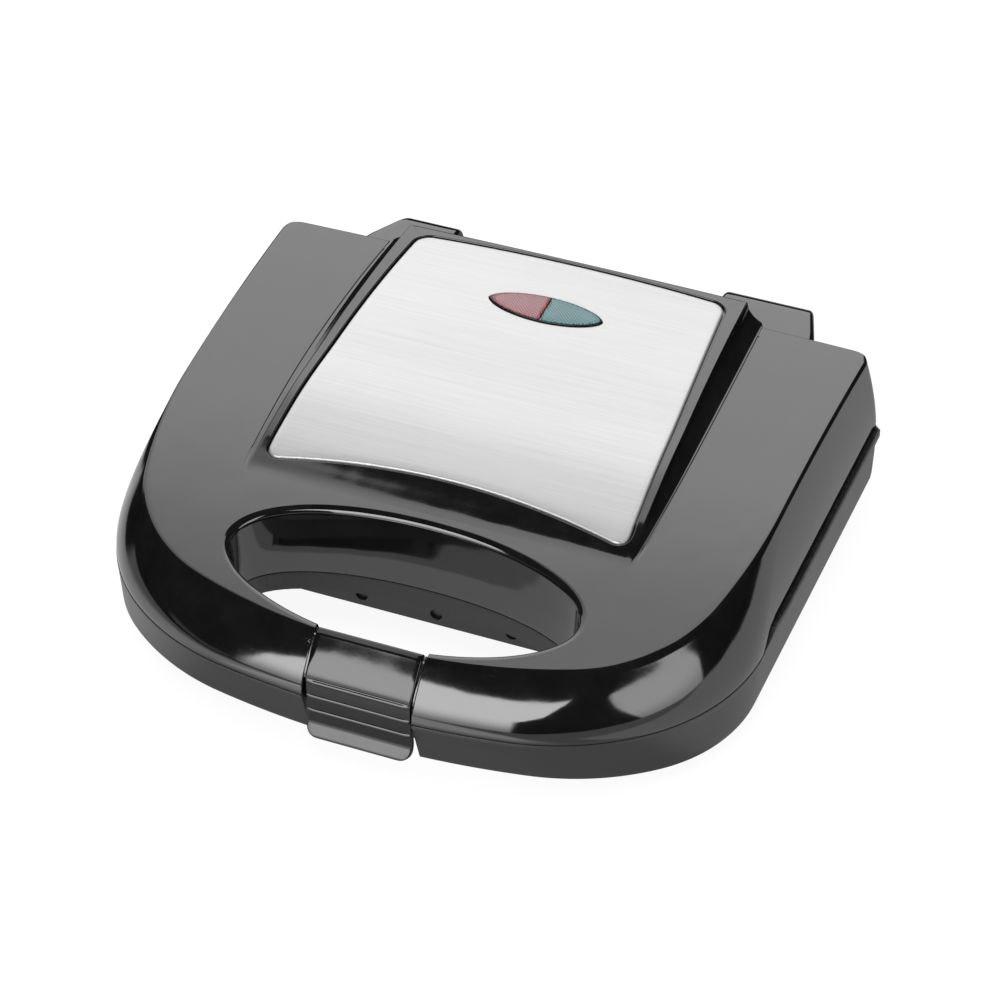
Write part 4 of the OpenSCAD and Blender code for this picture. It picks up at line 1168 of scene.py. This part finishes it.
CLEAR_COAT = {"Coat Weight": 0.6, "Coat Roughness": 0.04}
M = {name: finish(name, *how) for name, *how in (
    ("black_gloss", gloss_black, {"IOR": 2.2}),
    ("black_latch", gloss_black, {"IOR": 1.85}),
    ("black_matte", satin_black, {"IOR": 1.9}),
    ("black_inner", inner_black),
    ("nonstick", nonstick, {"IOR": 1.45}),
    ("heater_steel", heater_sheath, {"Metallic": 0.9}),
    ("reflector_alu", foil_steel, {"Metallic": 1.0}),
    ("ceramic", white_ceramic),
    ("rubber", foot_rubber),
    ("steel_hardware", plated_steel, {"Metallic": 1.0}),
    ("brushed_panel", brushed_steel, {"Metallic": 0.6}),
    ("lens_red", lens_finish((0.21, 0.105, 0.115), (0.52, 0.25, 0.27),
                             (0.52, 0.05, 0.05), (0.10, 0.010, 0.012)), CLEAR_COAT),
    ("lens_green", lens_finish((0.06, 0.15, 0.165), (0.20, 0.36, 0.38),
                               (0.07, 0.34, 0.35), (0.008, 0.06, 0.06)), CLEAR_COAT),
    ("neon_glass", neon_glass, {"Transmission Weight": 0.7, "IOR": 1.5}),
)}

# ---- pieces

for part in frame["record"]["subparts"]:
    for holder in frame["nodes"][part["node"]].material_slots:
        holder.material = M[part["material_slot"]]
lid = ears(lid_shell_skin()).piece("lid_skin", M["black_gloss"], "lid")
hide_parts("lid_shell")
panel = panel_skin().piece("panel_sheet", M["brushed_panel"], "lid")
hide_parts("top_panel")
for side, name in ((-1, "lens_red"), (1, "lens_green")):
    half = lens_skin(side).piece(name + "_cap", M[name], "lid", sharp=50)
    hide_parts(name)
leaf = latch_skin().piece("latch_leaf", M["black_latch"], "latch")
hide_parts("latch")
# painted shade: the dark sheet in the slot between lid and base, given the rubber finish
slot_shadow_piece = Skin()
shell = base_wall(slot_shadow_piece).piece("base_wall", M["black_matte"], "base")
slot_shadow_piece = slot_shadow_piece.piece("slot_shadow_sheet", M["rubber"], "base")

# ---- floor, world, light

def floor_finish():
    """Pale floor: a plain grey that takes the shadow, with enough glow for
    camera and transmission rays to read as white. Glossy rays meet a glowing
    pattern of painted reflection instead: painted grey light near the object,
    painted shade past its rear corners and in a band on the left, painted
    highlights where the front and side banks stand over it, under the handle
    opening and along the left."""
    mat, tree, shader = material("floor", {
        "Base Color": grey(0.16), "Roughness": 0.9, "Specular IOR Level": 0.0,
        "Emission Strength": 1.0})
    seen, shine, through = (Sock(tree).node("LightPath", out=k)
                            for k in ("Is Camera Ray", "Is Glossy Ray", "Is Transmission Ray"))
    place = object_mm(tree)
    x, y = place.axis(0), place.axis(1)
    # painted shade in the floor's reflection: dark past the rear corners
    far = y.step(-75, -45) * x.size().step(196, 212)
    # painted shade in the floor's reflection: a dark band on the left
    shade = (y - x * 0.3 - 66.1).step(-3, 4) * x.fall(-140, -110)
    shade = shade.at_least(x.fall(-450, -390))
    # painted highlights in the floor's reflection: a left strip, under the opening, in front and
    # beside the right
    left = (0.0 - x).step(62, 112) * (0.0 - x).fall(150, 240) * y.fall(-10, 40)
    hole = x.between(-58, 58, 3) * y.between(-97, -46, 2)
    before = (x - (y + 110.0) * 0.3 - 10.0).between(-85, 75, 12) * y.fall(-178, -116)
    beside = x.step(105, 112) * y.between(-170, 190, 15)
    # painted reflection: this glow is what glossy rays see on the floor, though the floor is no
    # lamp
    painted_reflection = (0.28 + 0.75 * before + 0.25 * beside + 0.2 * hole + 0.48 * left) * (1.0 - shade)
    painted_reflection = painted_reflection * (1.0 - far * (1.0 - beside)) + 0.01
    white = (seen + through).blend(grey(0.0), grey(0.925))
    tree.links.new(white.socket, shader.inputs["Emission Color"])
    colour = painted_reflection.node("CombineColor", {0: painted_reflection, 1: painted_reflection, 2: painted_reflection})
    glow = painted_reflection.node("Emission", {"Color": colour})
    both = painted_reflection.node("MixShader", {0: shine, 1: Sock(tree, shader.outputs[0]), 2: glow})
    tree.links.new(both.socket, tree.nodes["Material Output"].inputs["Surface"])
    return mat


me = bpy.data.meshes.new("floor")
me.from_pydata([(-6, -6, 0), (6, -6, 0), (6, 6, 0), (-6, 6, 0)], [], [(0, 1, 2, 3)])
me.materials.append(floor_finish())
floor = add_object("floor", me)

DIM = 0.015             # radiance of the dark studio between the banks


def studio_world():
    """Dark studio with three banks of light, drawn by azimuth (from +Y
    towards +X) and elevation in degrees; white to the camera. The rear bank
    dims upwards and to the left, the other two have a near side that leans
    over and grow dimmer towards the floor. A faint haze lies low in front."""
    world = bpy.data.worlds.new("studio")
    bpy.context.scene.world = world
    world.use_nodes = True
    tree = world.node_tree
    ray = Sock(tree).node("TexCoord")
    x, y, z = ray.axis(0), ray.axis(1), ray.axis(2)
    az = x.math("ARCTAN2", x, y) * (180 / math.pi)
    el = z.math("ARCSINE", z) * (180 / math.pi)
    round_az = az + az.step(-0.1, 0.1, 360.0, 0.0)
    rear = el.between(13, 66.1, 0.5) + el.between(-14, 13, 0.8) * az.fall(-48, -44)
    rear = rear * az.step(-78, -70) * az.fall(1, 11)
    rear = rear * (1.0 - az.step(-9, -6) * el.fall(30.5, 33.5))
    rear = rear * (1.32 + el.step(46, 62, 0.0, -0.42)) * az.step(-62, -36, 0.55, 1.0)
    lean = (el - 24.0).at_least(0.0)
    slant = (177.0 - round_az).at_least(0.0)
    front = (el + slant * 0.2).between(-2, 42.3, 0.6) * (round_az + lean).step(176.4, 177.6)
    front = front * (round_az + lean * lean * 0.026).fall(212.8, 214.2)
    front = front * el.step(0, 27, 1.0, 3.3)
    lean = (el - 9.0).at_least(0.0)
    side = el.between(-2, 34, 1.0) * (az - lean ** 1.6 * 0.35).step(91.2, 92.8)
    side = side * (az - el * 0.55).fall(124.8, 126.2) * el.step(0, 13, 1.1, 1.75)
    low = el.between(-6, 5, 2) * round_az.between(215, 240, 3) * 0.15
    total = rear + front + side + low + DIM
    seen = Sock(tree).node("LightPath")
    total = total * (1.0 - seen) + seen
    tree.links.new(total.socket, tree.nodes["Background"].inputs["Strength"])
    tree.nodes["Background"].inputs["Color"].default_value = grey(1.0)


studio_world()


def overhead_light():
    """Square lamp turned to the object. It has no reflection: the banks of
    the world stand for it there."""
    data = bpy.data.lights.new("overhead", "AREA")
    data.shape, data.size, data.energy = "SQUARE", 1.6, 17.0
    ob = add_object("overhead", data)
    place, aim = Vector((0.1, -0.1, 1.6)), Vector((0, 0, 0.03))
    ob.location = place
    ob.rotation_euler = (place - aim).to_track_quat("Z", "Y").to_euler()
    ob.visible_glossy = False


overhead_light()


# ---- camera

def studio_camera():
    """Camera from azimuth, elevation, roll, distance and target."""
    az, el, roll = rad(21.77), rad(40.46), rad(-0.35)
    back = np.array([math.sin(az) * math.cos(el), -math.cos(az) * math.cos(el), math.sin(el)])
    right = np.array([math.cos(az), math.sin(az), 0.0])
    up = np.cross(back, right)
    c, s = math.cos(roll), math.sin(roll)
    axes = np.array([[c, s, 0], [-s, c, 0], [0, 0, 1]]) @ np.array([right, up, back])
    data = bpy.data.cameras.new("camera")
    data.lens, data.sensor_width, data.sensor_fit = 129.107, 36.0, "HORIZONTAL"
    data.clip_start, data.clip_end = 0.05, 50.0
    ob = add_object("camera", data)
    target, distance = np.array([0.00668, -0.00179, 0.030]), 1.2092
    matrix = np.eye(4)
    matrix[:3, :3] = axes.T
    matrix[:3, 3] = target + back * distance
    ob.matrix_world = Matrix(matrix.tolist())
    bpy.context.scene.camera = ob


studio_camera()
bpy.context.scene.view_settings.view_transform = "Standard"
